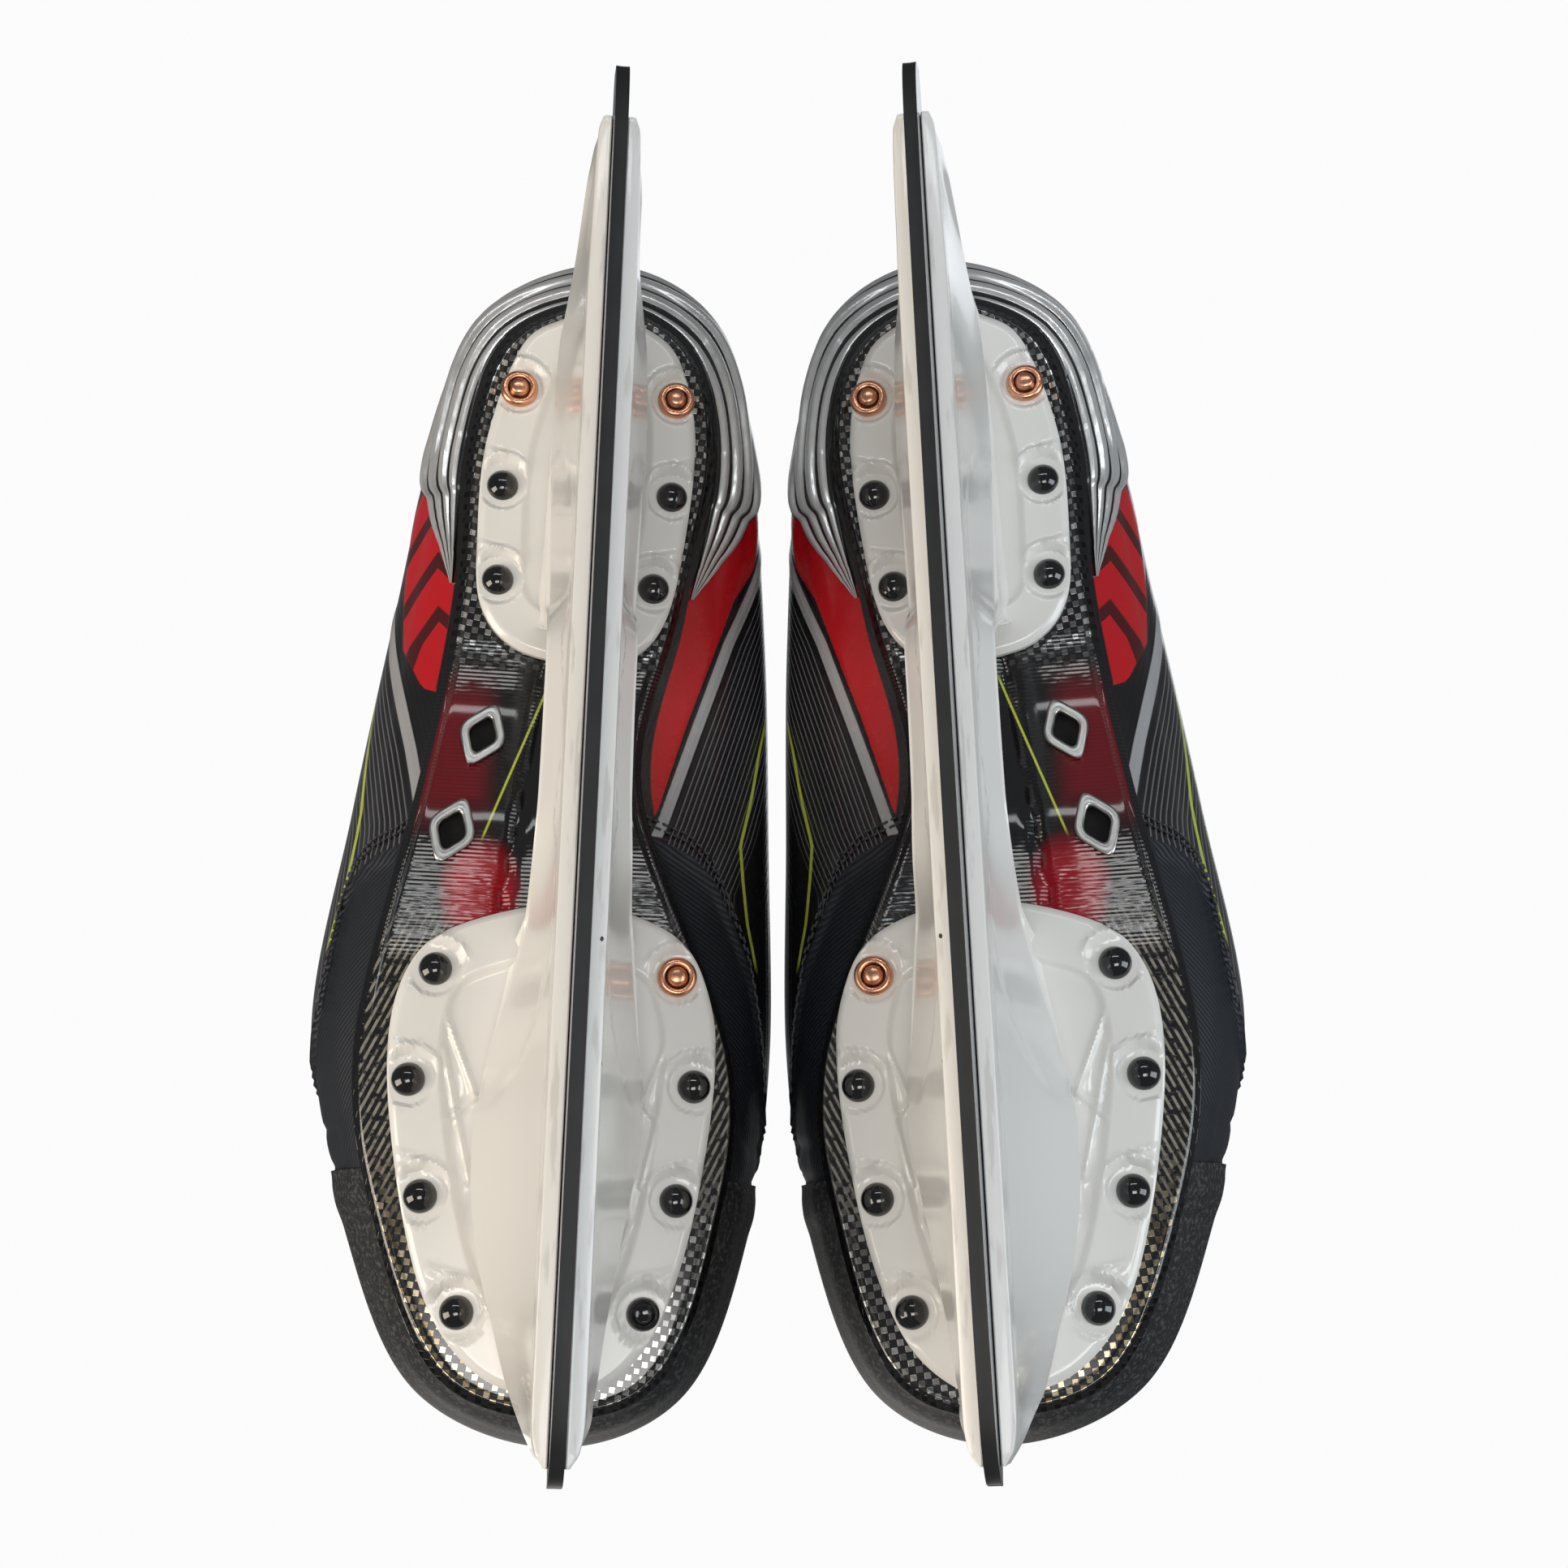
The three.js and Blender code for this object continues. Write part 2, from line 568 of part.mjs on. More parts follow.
function tendonGuard() {
  const back = edgeAt(8);
  return panel({
    centreY: back.y - guardThickness, footZ: back.z + swingGap, height: guardHeight, lean: 0.16,
    halfFoot: 27, halfTop: 20, bow: -13, thickness: guardThickness,
  });
}

const topLaceStation = 4.68;
// One lace pass: out of an eyelet, over the throat's edge, across the tongue and into the eyelet on the other side.
function lacePass(from, to) {
  const outerStation = (row) => lerp(3.15, topLaceStation, row / (laceRows - 1));
  const over = (station, out) => {
    const edge = edgeAt(station);
    const low = bootLoops[3].getPoint((station % 16) / 16);
    const share = out / edge.distanceTo(low);
    const point = edge.clone().lerp(low, share);
    point.z += laceRadius + 2.6 + out * 0.3;
    point.y -= laceRadius * 0.8;
    return point;
  };
  const a = outerStation(from);
  const b = 16 - outerStation(to);
  const points = [over(a, 8), over(a, 1), over(b, 1), over(b, 8)];
  points[1].z += 3;
  points[2].z += 3;
  const path = new THREE.CatmullRomCurve3(points);
  const sides = Array.from({ length: 4 }, (_, i) => (i * Math.PI) / 2);
  const section = new THREE.Shape(
    sides.map((t) => new THREE.Vector2(laceRadius * Math.cos(t), laceRadius * Math.sin(t))),
  );
  return solidOf(new THREE.ExtrudeGeometry(section, { steps: 5, extrudePath: path, bevelEnabled: false }));
}

function lace() {
  const passes = [lacePass(0, 0)];
  for (let row = 0; row + 1 < laceRows; row++) passes.push(lacePass(row, row + 1), lacePass(row + 1, row));
  return passes.reduce((all, pass) => all.add(pass));
}

// ---- materials and the pair ----
const finish = (color, roughness, metalness = 0) => ({ color, roughness, metalness });
const finishes = {
  steel: finish(0x9a9da0, 0.3, 1),
  plastic: finish(0xeeeae2, 0.25),
  black: finish(0x0c0c0e, 0.25),
  copper: finish(0xb87450, 0.3, 1),
  carbon: finish(0x2a2b2d, 0.3),
  shell: finish(0x17181c, 0.5),
  rubber: finish(0x101012, 0.7),
  silver: finish(0xa8abb0, 0.3, 0.7),
  red: finish(0xc81420, 0.4),
  felt: finish(0x8c8e90, 0.9),
  grey: finish(0x50545a, 0.8),
  white: finish(0xdedbd2, 0.8),
};

const pieces = [
  ["runner", runner(), "steel"],
  ["holder", holder(), "plastic"],
  ["trigger", trigger(), "red"],
  ["trigger_pin", triggerPin(), "steel"],
  ...rivetPlaces.map((place) => [place.name, rivet(place), place.metal ? "copper" : "black"]),
  ["outsole", outsole(), "carbon"],
  ...ventPlaces.map((place) => [place[0], vent(place), "silver"]),
  ["boot_shell", bootShell(), "shell"],
  ["toe_cap", toeCap(), "rubber"],
  ["heel_counter", heelCounter(), "silver"],
  ["liner", liner(), "grey"],
  ["footbed", footbed(), "grey"],
  ["tongue", tongue(), "felt"],
  ["tongue_flap", tongueFlap(), "felt"],
  ["tendon_guard", tendonGuard(), "black"],
  ["lace", lace(), "white"],
];

const lean = THREE.MathUtils.degToRad(leanOut);
const turn = new THREE.Euler(0, lean, THREE.MathUtils.degToRad(toeOut), "ZYX");
// Each runner stands this far from the middle, so that the two boots stay pairGap apart.
const innerReach = Math.min(...broadLoop.map((p) => p.clone().applyEuler(turn).x));
const runnerPlace = pairGap / 2 - innerReach;

function skate(side) {
  const group = new THREE.Group();
  for (const [name, solid, look] of pieces) {
    const mesh = new THREE.Mesh(geometryOf(solid), new THREE.MeshStandardMaterial(finishes[look]));
    mesh.name = side + "_" + name;
    group.add(mesh);
  }
  group.rotation.copy(turn);
  group.position.set(runnerPlace, 0, (Math.sin(lean) * runnerThickness) / 2);
  const mirrored = new THREE.Group();
  mirrored.add(group);
  mirrored.scale.x = side === "left" ? 1 : -1;
  return mirrored;
}

const pair = new THREE.Group();
pair.add(skate("left"), skate("right"));
export default pair;
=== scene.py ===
"""A pair of ice hockey skates, seen from below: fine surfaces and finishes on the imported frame."""

import json
import math

import bmesh
import bpy
import numpy as np
from mathutils import Matrix, Vector


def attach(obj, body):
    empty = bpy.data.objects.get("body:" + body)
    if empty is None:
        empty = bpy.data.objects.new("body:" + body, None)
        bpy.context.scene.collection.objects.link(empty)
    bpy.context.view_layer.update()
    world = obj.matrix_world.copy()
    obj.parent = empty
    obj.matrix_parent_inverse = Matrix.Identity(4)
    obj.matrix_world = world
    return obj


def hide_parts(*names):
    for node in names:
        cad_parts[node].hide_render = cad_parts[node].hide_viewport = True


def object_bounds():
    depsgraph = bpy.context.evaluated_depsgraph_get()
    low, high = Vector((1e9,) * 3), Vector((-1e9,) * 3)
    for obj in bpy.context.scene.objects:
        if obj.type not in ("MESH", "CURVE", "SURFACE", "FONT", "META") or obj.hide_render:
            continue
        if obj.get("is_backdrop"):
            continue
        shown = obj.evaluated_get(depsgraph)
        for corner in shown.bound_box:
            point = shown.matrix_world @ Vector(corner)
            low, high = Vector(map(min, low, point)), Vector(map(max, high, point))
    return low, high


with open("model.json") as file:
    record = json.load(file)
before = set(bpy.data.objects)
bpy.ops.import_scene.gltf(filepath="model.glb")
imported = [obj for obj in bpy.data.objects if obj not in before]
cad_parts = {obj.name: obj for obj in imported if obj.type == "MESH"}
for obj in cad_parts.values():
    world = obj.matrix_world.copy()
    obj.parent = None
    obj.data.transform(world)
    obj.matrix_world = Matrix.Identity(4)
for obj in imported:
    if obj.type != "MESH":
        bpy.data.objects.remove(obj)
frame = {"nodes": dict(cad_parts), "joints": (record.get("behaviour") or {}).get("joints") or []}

MM = 0.001
SIDES = ("left", "right")


def write_size(key, sizes={}):
    """Keeps the box of everything under key."""
    low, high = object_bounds()
    sizes[key] = [list(map(float, low)), list(map(float, high))]


write_size("cad")

# ---- the skate's own frame: x to the outer side, y to the heel, z up from the ice, in millimetres ----
joints = {joint["name"]: joint for joint in frame["joints"]}
PIVOT = np.array([0.0, 55.0, 53.0])  # the release trigger's pin
AXIS_X = -np.array(joints["left_trigger_pull"]["axis"], float)
AXIS_Z = -np.array(joints["left_runner_release"]["axis"], float)
AXIS_X -= AXIS_Z * AXIS_X.dot(AXIS_Z)
AXIS_X /= np.linalg.norm(AXIS_X)
AXIS_Y = np.cross(AXIS_Z, AXIS_X)
TURN = np.column_stack([AXIS_X, AXIS_Y, AXIS_Z])
ORIGIN = np.array(joints["left_trigger_pull"]["pos_m"], float) - TURN @ PIVOT * MM


def mirrored(points, side):
    """The same points, or their mirror image for the right skate."""
    return points * np.array([-1.0 if side == "right" else 1.0, 1.0, 1.0])


def to_world(points, side):
    """Points of the left skate's frame, in millimetres, as points of the shared frame, in metres."""
    return mirrored(np.asarray(points, float) @ TURN.T * MM + ORIGIN, side)


def to_local(world, side):
    """The other way: metres in the shared frame to millimetres in the left skate's frame."""
    return (mirrored(world, side) - ORIGIN) @ TURN / MM


# ---- numbers shared by the pieces ----
RUNNER_HALF = 1.475
RAIL_BOTTOM, BEAM_TOP = 11.0, 31.0
FRONT_DECK, HEEL_DECK = 58.0, 66.0
PLATE = 3.4
GAP = 0.3
SOLE = 2.8
FRONT_SOLE, HEEL_SOLE = 61.7, 69.7
WALL, LINING = 2.6, 4.0


def smooth(t):
    t = np.clip(t, 0.0, 1.0)
    return t * t * (3 - 2 * t)


def ramp(value, start, end):
    return smooth((np.asarray(value, float) - start) / (end - start))


def lerp(a, b, t):
    return a + (b - a) * t


def bump_at(value, centre, half):
    """1 at centre, falling smoothly to 0 at half away."""
    return smooth(1 - np.abs(value - centre) / half)


def sole_height(y):
    return lerp(FRONT_SOLE, HEEL_SOLE, ramp(y, -18, 27))


# ---- curves ----
def closed_curve(points, u):
    """A uniform Catmull-Rom loop through points, at the shares u of its length in stations."""
    points = np.asarray(points, float)
    count = len(points)
    place = np.mod(np.asarray(u, float), 1.0) * count
    i = np.floor(place).astype(int)
    t = (place - i)[..., None]
    p0, p1, p2, p3 = (points[(i + k) % count] for k in (-1, 0, 1, 2))
    return spline(p0, p1, p2, p3, t)


def spline(p0, p1, p2, p3, t):
    return 0.5 * (
        2 * p1 + (p2 - p0) * t + (2 * p0 - 5 * p1 + 4 * p2 - p3) * t**2
        + (3 * p1 - p0 - 3 * p2 + p3) * t**3
    )


def open_curve(points, v):
    """A uniform Catmull-Rom line through points, whose ends run on straight; points are stacked on the
    first axis."""
    points = np.asarray(points, float)
    count = len(points)
    padded = np.concatenate([[2 * points[0] - points[1]], points, [2 * points[-1] - points[-2]]])
    place = np.clip(np.asarray(v, float), 0, 1) * (count - 1)
    i = np.minimum(np.floor(place).astype(int), count - 2)
    t = (place - i).reshape(i.shape + (1,) * (points.ndim - 1))
    return spline(padded[i], padded[i + 1], padded[i + 2], padded[i + 3], t)


def even(points, count, closed=False):
    """The same line with count points at even distances."""
    points = np.asarray(points, float)
    if closed:
        points = np.vstack([points, points[:1]])
    far = np.concatenate([[0], np.cumsum(np.linalg.norm(np.diff(points, axis=0), axis=1))])
    at = np.linspace(0, far[-1], count + 1)[:-1] if closed else np.linspace(0, far[-1], count)
    return np.column_stack([np.interp(at, far, points[:, k]) for k in range(points.shape[1])])


def normals_of(grid, wrap=False):
    """Unit normals of a grid of points."""
    if wrap:
        along = np.roll(grid, -1, 0) - np.roll(grid, 1, 0)
    else:
        along = np.gradient(grid, axis=0)
    across = np.gradient(grid, axis=1)
    normal = np.cross(along, across)
    return normal / np.maximum(np.linalg.norm(normal, axis=2, keepdims=True), 1e-9)


# ---- meshes ----
def unit(vectors):
    """The same directions at length one."""
    return vectors / np.linalg.norm(vectors, axis=-1, keepdims=True)


def grid_faces(rows, cols, wrap=False, start=0):
    """Quads of a grid of rows x cols vertices, joined round its rows when wrap is set."""
    r = np.arange(rows if wrap else rows - 1)[:, None]
    c = np.arange(cols - 1)[None, :]
    r2 = (r + 1) % rows
    quads = np.stack([r * cols + c, r2 * cols + c, r2 * cols + c + 1, r * cols + c + 1], -1)
    return quads.reshape(-1, 4) + start


def tube_mesh(grid):
    """A closed solid from a grid whose rows run round and whose columns run along; its two ends are
    fans."""
    rows, cols = grid.shape[:2]
    verts = grid.reshape(-1, 3)
    faces = [grid_faces(rows, cols, wrap=True)]
    ring = np.arange(rows)
    for col, turn in ((0, 1), (cols - 1, -1)):
        hub = len(verts)
        verts = np.vstack([verts, grid[:, col].mean(0)])
        a, b = ring * cols + col, np.roll(ring, -1) * cols + col
        tris = np.stack([np.full(rows, hub), b, a], -1)[:, ::turn]
        faces.append(tris)
    return verts, faces


def thick_mesh(outer, inner, wrap=False):
    """A closed sheet between two grids of the same shape."""
    rows, cols = outer.shape[:2]
    count = rows * cols
    verts = np.vstack([outer.reshape(-1, 3), inner.reshape(-1, 3)])
    faces = [grid_faces(rows, cols, wrap), grid_faces(rows, cols, wrap, count)[:, ::-1]]
    ring = np.arange(rows)
    nxt = np.roll(ring, -1)
    if not wrap:
        ring, nxt = ring[:-1], ring[1:]
    for col, turn in ((0, 1), (cols - 1, -1)):
        a, b = ring * cols + col, nxt * cols + col
        faces.append(np.stack([a, a + count, b + count, b], -1)[:, ::turn])
    if not wrap:
        run = np.arange(cols - 1)
        for row, turn in ((0, -1), (rows - 1, 1)):
            a, b = row * cols + run, row * cols + run + 1
            faces.append(np.stack([a, a + count, b + count, b], -1)[:, ::turn])
    return verts, faces


def joined(*meshes):
    verts, faces, start = [], [], 0
    for v, f in meshes:
        verts.append(v)
        faces += [part + start for part in f]
        start += len(v)
    return np.vstack(verts), faces


def piece(name, mesh, side, body, material, nodes=(), crisp=40, marks=None):
    """A finished piece from local points: its faces are turned outwards and it keeps its local place as an
    attribute."""
    verts, faces = mesh
    world = to_world(verts, side)
    polygons = [row for f in faces for row in f.tolist()]
    data = bpy.data.meshes.new(name)
    data.from_pydata(world.tolist(), [], polygons)
    spot = data.attributes.new("spot", "FLOAT_VECTOR", "POINT")
    spot.data.foreach_set("vector", np.asarray(verts, np.float32).ravel())
    if marks is not None:
        mark = data.attributes.new("mark", "FLOAT_VECTOR", "POINT")
        mark.data.foreach_set("vector", np.asarray(marks, np.float32).ravel())
    data.validate()
    shells = bmesh.new()
    shells.from_mesh(data)
    bmesh.ops.recalc_face_normals(shells, faces=shells.faces)
    shells.to_mesh(data)
    shells.free()
    data.update()
    data.shade_smooth()
    if crisp:
        data.set_sharp_from_angle(angle=math.radians(crisp))
    data.materials.append(material)
    made = bpy.data.objects.new(name, data)
    bpy.context.scene.collection.objects.link(made)
    if body:
        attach(made, body)
    if nodes:
        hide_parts(*nodes)
    return made


# ---- finishes ----
class Value:
    """A number inside a material: each operator adds one Math node."""

    def __init__(self, look, socket):
        self.look, self.socket = look, socket

    def math(self, operation, *others):
        node = self.look.tree.nodes.new("ShaderNodeMath")
        node.operation = operation
        for i, item in enumerate(others):
            self.look.feed(node.inputs[i], item)
        return Value(self.look, node.outputs[0])

    def __add__(self, other):
        return self.math("ADD", self, other)

    def __radd__(self, other):
        return self.math("ADD", other, self)

    def __sub__(self, other):
        return self.math("SUBTRACT", self, other)

    def __rsub__(self, other):
        return self.math("SUBTRACT", other, self)

    def __mul__(self, other):
        return self.math("MULTIPLY", self, other)

    def __rmul__(self, other):
        return self.math("MULTIPLY", other, self)

    def __truediv__(self, other):
        return self.math("DIVIDE", self, other)

    def __rtruediv__(self, other):
        return self.math("DIVIDE", other, self)

    def __pow__(self, other):
        return self.math("POWER", self, other)

    def __neg__(self):
        return self.math("MULTIPLY", self, -1.0)

    def __abs__(self):
        return self.math("ABSOLUTE", self)

    def floor(self):
        return self.math("FLOOR", self)

    def wave(self):
        """The sine of the value."""
        return self.math("SINE", self)

    def cycle(self, length=1.0):
        """The value's place in a repeat of that length, from 0 to 1."""
        return (self / length).math("FRACT", self / length)

    def above(self, edge, soft=0.0):
        """1 above edge and 0 below it, over a soft width."""
        if not soft:
            return self.math("GREATER_THAN", self, edge)
        node = self.look.tree.nodes.new("ShaderNodeMapRange")
        node.interpolation_type = "SMOOTHSTEP"
        self.look.feed(node.inputs["Value"], self)
        self.look.feed(node.inputs["From Min"], edge - soft / 2)
        self.look.feed(node.inputs["From Max"], edge + soft / 2)
        return Value(self.look, node.outputs["Result"])

    def below(self, edge, soft=0.0):
        return 1.0 - self.above(edge, soft)

    def within(self, low, high, soft=0.0):
        return self.above(low, soft) * self.below(high, soft)

    def lowest(self, other):
        return self.math("MINIMUM", self, other)


class Look:
    """A material built from nodes round one Principled shader."""

    def __init__(self, name, color, roughness, metallic=0.0, coat=0.0):
        self.material = bpy.data.materials.new(name)
        self.material.use_nodes = True
        self.tree = self.material.node_tree
        self.shader = next(n for n in self.tree.nodes if n.type == "BSDF_PRINCIPLED")
        self.set("Base Color", color)
        self.set("Roughness", roughness)
        self.set("Metallic", metallic)
        self.set("Coat Weight", coat)
        self.shader.inputs["Coat Roughness"].default_value = 0.06

    def feed(self, socket, item):
        if isinstance(item, Value):
            item = item.socket
        if isinstance(item, bpy.types.NodeSocket):
            self.tree.links.new(item, socket)
        elif isinstance(item, (tuple, list)) and len(item) == 3 and socket.type == "RGBA":
            socket.default_value = (*item, 1.0)
        else:
            socket.default_value = item

    def set(self, socket, item):
        self.feed(self.shader.inputs[socket], item)

    def node(self, kind, settings=None, **inputs):
        made = self.tree.nodes.new(kind)
        for key, item in (settings or {}).items():
            setattr(made, key, item)
        for key, item in inputs.items():
            self.feed(made.inputs[key.replace("_", " ")], item)
        return made

    def parts(self, attribute):
        """The three numbers of a vector attribute."""
        source = self.node("ShaderNodeAttribute", {"attribute_name": attribute})
        split = self.node("ShaderNodeSeparateXYZ", Vector=source.outputs["Vector"])
        return [Value(self, out) for out in split.outputs]

    def place(self):
        return self.parts("spot")

    def vector(self, x, y, z):
        return self.node("ShaderNodeCombineXYZ", X=x, Y=y, Z=z).outputs[0]

    def noise(self, scale, detail=3.0, at=None, rough=0.5):
        """Smooth noise; scale is in waves per millimetre."""
        if at is None:
            at = self.node("ShaderNodeAttribute", {"attribute_name": "spot"}).outputs["Vector"]
        made = self.node("ShaderNodeTexNoise", Vector=at, Scale=scale, Detail=detail, Roughness=rough)
        return Value(self, made.outputs["Fac"])

    def random(self, *where):
        """One random number for each cell."""
        made = self.node("ShaderNodeTexWhiteNoise", Vector=self.vector(*where, *([0.0] * (3 - len(where)))))
        return Value(self, made.outputs["Value"])

    def mix(self, share, a, b):
        made = self.node("ShaderNodeMix", {"data_type": "RGBA", "clamp_factor": True})
        self.feed(made.inputs[0], share)
        self.feed(made.inputs[6], a)
        self.feed(made.inputs[7], b)
        return made.outputs[2]

    def bump(self, height, depth, strength=1.0):
        """Raises the surface by height times depth, in millimetres."""
        made = self.node("ShaderNodeBump", Strength=strength, Distance=depth * MM, Height=height)
        self.set("Normal", made.outputs["Normal"])


STEEL = (0.42, 0.43, 0.45)
DARK = (0.008, 0.008, 0.0095)


def steel_look():
    look = Look("steel", STEEL, 0.24, 1.0)
    x, y, z = look.place()
    bottom, _, _ = look.parts("mark")
    grain = look.noise(1.0, 3, look.vector(x * 0.4, y * 0.02, z * 3.0))
    edge = bottom.above(0.5, 0.2)
    wear = look.noise(0.09, 4)
    polished = look.mix(grain, (0.36, 0.37, 0.39), (0.56, 0.57, 0.6))
    ground = look.mix(wear, (0.014, 0.015, 0.016), (0.03, 0.031, 0.033))
    look.set("Base Color", look.mix(edge, polished, ground))
    look.set("Roughness", 0.2 + grain * 0.14 + edge * 0.25)
    look.set("Metallic", 1.0 - edge * 0.55)
    look.bump(grain, 0.02, 0.5)
    return look.material


def holder_look():
    look = Look("holder_plastic", (0.80, 0.785, 0.755), 0.2, 0.0, 0.35)
    x, y, z = look.place()
    cloud = look.noise(0.03, 3)
    color = look.mix(cloud, (0.80, 0.785, 0.75), (0.84, 0.83, 0.805))
    rail = z.below(17.5, 3.0)
    dirt = look.noise(0.5, 4, look.vector(x, y * 0.12, z)).above(0.6, 0.12) * rail
    color = look.mix(dirt * 0.35, color, (0.42, 0.39, 0.35))
    nicks = look.noise(0.22, 1, look.vector(x, y * 0.7, z * 1.4)).above(0.79, 0.01) * rail
    color = look.mix(nicks, color, (0.03, 0.03, 0.032))
    look.set("Base Color", color)
    scuff = look.noise(0.9, 5, look.vector(x * 1.5, y * 0.25, z))
    look.set("Roughness", 0.16 + scuff * 0.1 + rail * 0.12)
    look.bump(scuff, 0.015, 0.4)
    return look.material


def black_rivet_look():
    look = Look("black_rivet", (0.006, 0.006, 0.007), 0.09, 0.0, 0.6)
    dust = look.noise(1.3, 3)
    look.set("Roughness", 0.07 + dust.above(0.62, 0.15) * 0.22)
    return look.material


def copper_look():
    look = Look("copper_rivet", (0.83, 0.45, 0.3), 0.2, 1.0)
    _, ring, _ = look.parts("mark")
    stain = look.noise(0.5, 3)
    worn = look.mix(stain, (0.86, 0.46, 0.3), (0.62, 0.28, 0.16))
    look.set("Base Color", look.mix(ring.within(0.5, 0.62, 0.05), worn, (0.12, 0.05, 0.03)))
    look.set("Roughness", 0.16 + stain * 0.2)
    look.bump(look.noise(1.5, 3), 0.03, 0.5)
    return look.material


def carbon_look():
    """Lacquered carbon: a silver weave round the heel and toe, lines beside the ball, a ribbed black
    arch."""
    look = Look("carbon_composite", DARK, 0.12, 0.0, 0.5)
    x, y, _ = look.place()
    edge, _, _ = look.parts("mark")
    cell = 1.55
    turn = 0.12
    a = (x + y * turn) / cell
    b = (y - x * turn) / cell
    check = ((a.floor() + b.floor()) * 0.5).cycle().above(0.25)
    # Each weave cell takes a random brightness: painted glints on the silver weave, with warmer gold glints
    # at the outer toe.
    glint = look.random(a.floor(), b.floor())
    thread = abs(a.cycle() - 0.5).below(0.42, 0.08) * abs(b.cycle() - 0.5).below(0.42, 0.08)
    silver = look.mix(glint, (0.12, 0.12, 0.12), (0.62, 0.62, 0.6))
    gold_glint = look.mix(glint, (0.14, 0.1, 0.05), (0.8, 0.68, 0.48))
    bright = look.mix(x.above(6.0, 8.0) * y.below(-60.0, 30.0), silver, gold_glint)
    weave = check * thread
    lines = ((x * 0.9 + y * 0.42) / 1.5).cycle().above(0.6, 0.16)
    lines = lines * look.noise(0.5, 3, look.vector(x, y, 0.0)).above(0.44, 0.16)
    heel = y.above(34.0, 16.0)
    toe = y.below(-92.0, 26.0)
    ball = y.below(-34.0, 20.0) * (1.0 - toe)
    cover = (weave * (heel + toe)).lowest(1.0)
    color = look.mix(cover, DARK, bright)
    color = look.mix(lines * ball * 0.85, color, (0.34, 0.31, 0.25))
    # Painted reflection: a soft red spot and a red band by the vents stand for the red quarter panel mirrored
    # in the glossy arch.
    arch = (1.0 - heel) * y.above(-38.0, 10.0)
    red = look.noise(0.07, 2) * 0.7 + 0.65
    glow = ((x - 21.0) * (x - 21.0) / 60.0 + (y + 24.0) * (y + 24.0) / 110.0).below(red, 1.5)
    flank = x.above(21.0, 8.0) * y.within(-8.0, 24.0, 14.0) * 0.45
    color = look.mix((glow + flank).lowest(1.0) * arch, color, (0.34, 0.003, 0.013))
    stripe = abs(x - 14.0 + y * 0.34 - 3.0).below(0.28, 0.2) * y.within(-12.0, 27.0, 3.0)
    color = look.mix(stripe, color, (0.55, 0.62, 0.06))
    rim = edge.below(1.6, 0.6)
    color = look.mix(rim, color, (0.004, 0.004, 0.005))
    look.set("Base Color", color)
    look.set("Metallic", cover * 0.8)
    ribs = abs((y / 0.95).cycle() - 0.5) * 2.0
    look.set("Roughness", 0.07 + look.noise(0.8, 4) * 0.1)
    waves = look.noise(0.16, 3, look.vector(x * 0.5, y, 0.0))
    look.bump(ribs * arch * 0.9 + weave * (1.0 - arch) * 0.25 + waves * arch * 2.4, 0.16, 0.8)
    return look.material


def vent_look():
    look = Look("vent_metal", (0.5, 0.51, 0.5), 0.3, 1.0)
    mouth, _, _ = look.parts("mark")
    stain = look.noise(0.5, 4)
    metal = look.mix(stain, (0.34, 0.34, 0.33), (0.6, 0.6, 0.58))
    # The mouth's walls and the disc that closes it are near black and not metal: painted shade inside the
    # vent.
    look.set("Base Color", look.mix(mouth.above(0.5, 0.1), metal, (0.001, 0.001, 0.001)))
    look.set("Metallic", mouth.below(0.5, 0.1))
    look.set("Roughness", 0.22 + stain * 0.2 + mouth * 0.5)
    return look.material


def quarter_look():
    """Moulded sides: a red panel with dark chevrons, a silver strip, fine stripes, and a ridged panel in
    front."""
    look = Look("quarter", DARK, 0.3, 0.0, 0.25)
    _, y, _ = look.place()
    share, side, front = look.parts("mark")
    red, strip, leaf = look.parts("band")
    outer = side.above(0.0)
    panel = red.above(0.0, 0.3) * share.within(0.03, 0.44, 0.006)
    panel = panel * (y - share * 95.0).below(50.0, 1.0) * y.above(-6.0, 0.5)
    slant = red - 9.0
    chevron = ((y * 0.8 + abs(slant)) / 11.0).cycle().below(0.3, 0.05) * outer
    color = look.mix(panel, DARK, (0.5, 0.006, 0.012))
    color = look.mix(chevron * panel * 0.92, color, (0.025, 0.005, 0.006))
    band = abs(strip).below(1.35, 0.3) * y.above(-9.0, 0.5)
    color = look.mix(band, color, (0.36, 0.36, 0.37))
    wave = abs((strip / 1.3).cycle() - 0.5)
    fine = wave.below(0.12, 0.1) * strip.within(2.6, 24.0, 0.6) * y.below(80.0, 8.0)
    color = look.mix(fine * 0.7, color, (0.2, 0.2, 0.215))
    piping = abs(leaf).below(0.42, 0.25) * y.within(-36.0, 26.0, 4.0)
    color = look.mix(piping, color, (0.5, 0.58, 0.06))
    fore = front.above(0.0, 0.4)
    ply = abs(((y * 0.85 + share * 42.0) / 1.25).cycle() - 0.5) * 2.0
    color = look.mix(fore, color, look.mix(ply, (0.005, 0.0065, 0.01), (0.013, 0.017, 0.026)))
    look.set("Base Color", color)
    look.set("Roughness", 0.2 + fore * 0.22 + look.noise(0.4, 4) * 0.12)
    look.set("Coat Weight", 0.35 - fore * 0.3)
    look.bump(wave * (1.0 - fore) * (1.0 - panel) + ply * fore, 0.14, 0.8)
    return look.material


def toe_cap_look():
    look = Look("toe_cap", (0.01, 0.0105, 0.0125), 0.5)
    _, _, z = look.place()
    scuff = look.noise(0.9, 6, None, 0.65)
    rub = z.below(86.0, 12.0)
    color = look.mix(scuff.above(0.56, 0.16) * rub, (0.008, 0.0085, 0.01), (0.07, 0.07, 0.072))
    look.set("Base Color", color)
    look.set("Roughness", 0.42 + scuff * 0.35)
    look.bump(scuff + look.noise(3.0, 3) * 0.3, 0.35, 0.7)
    return look.material


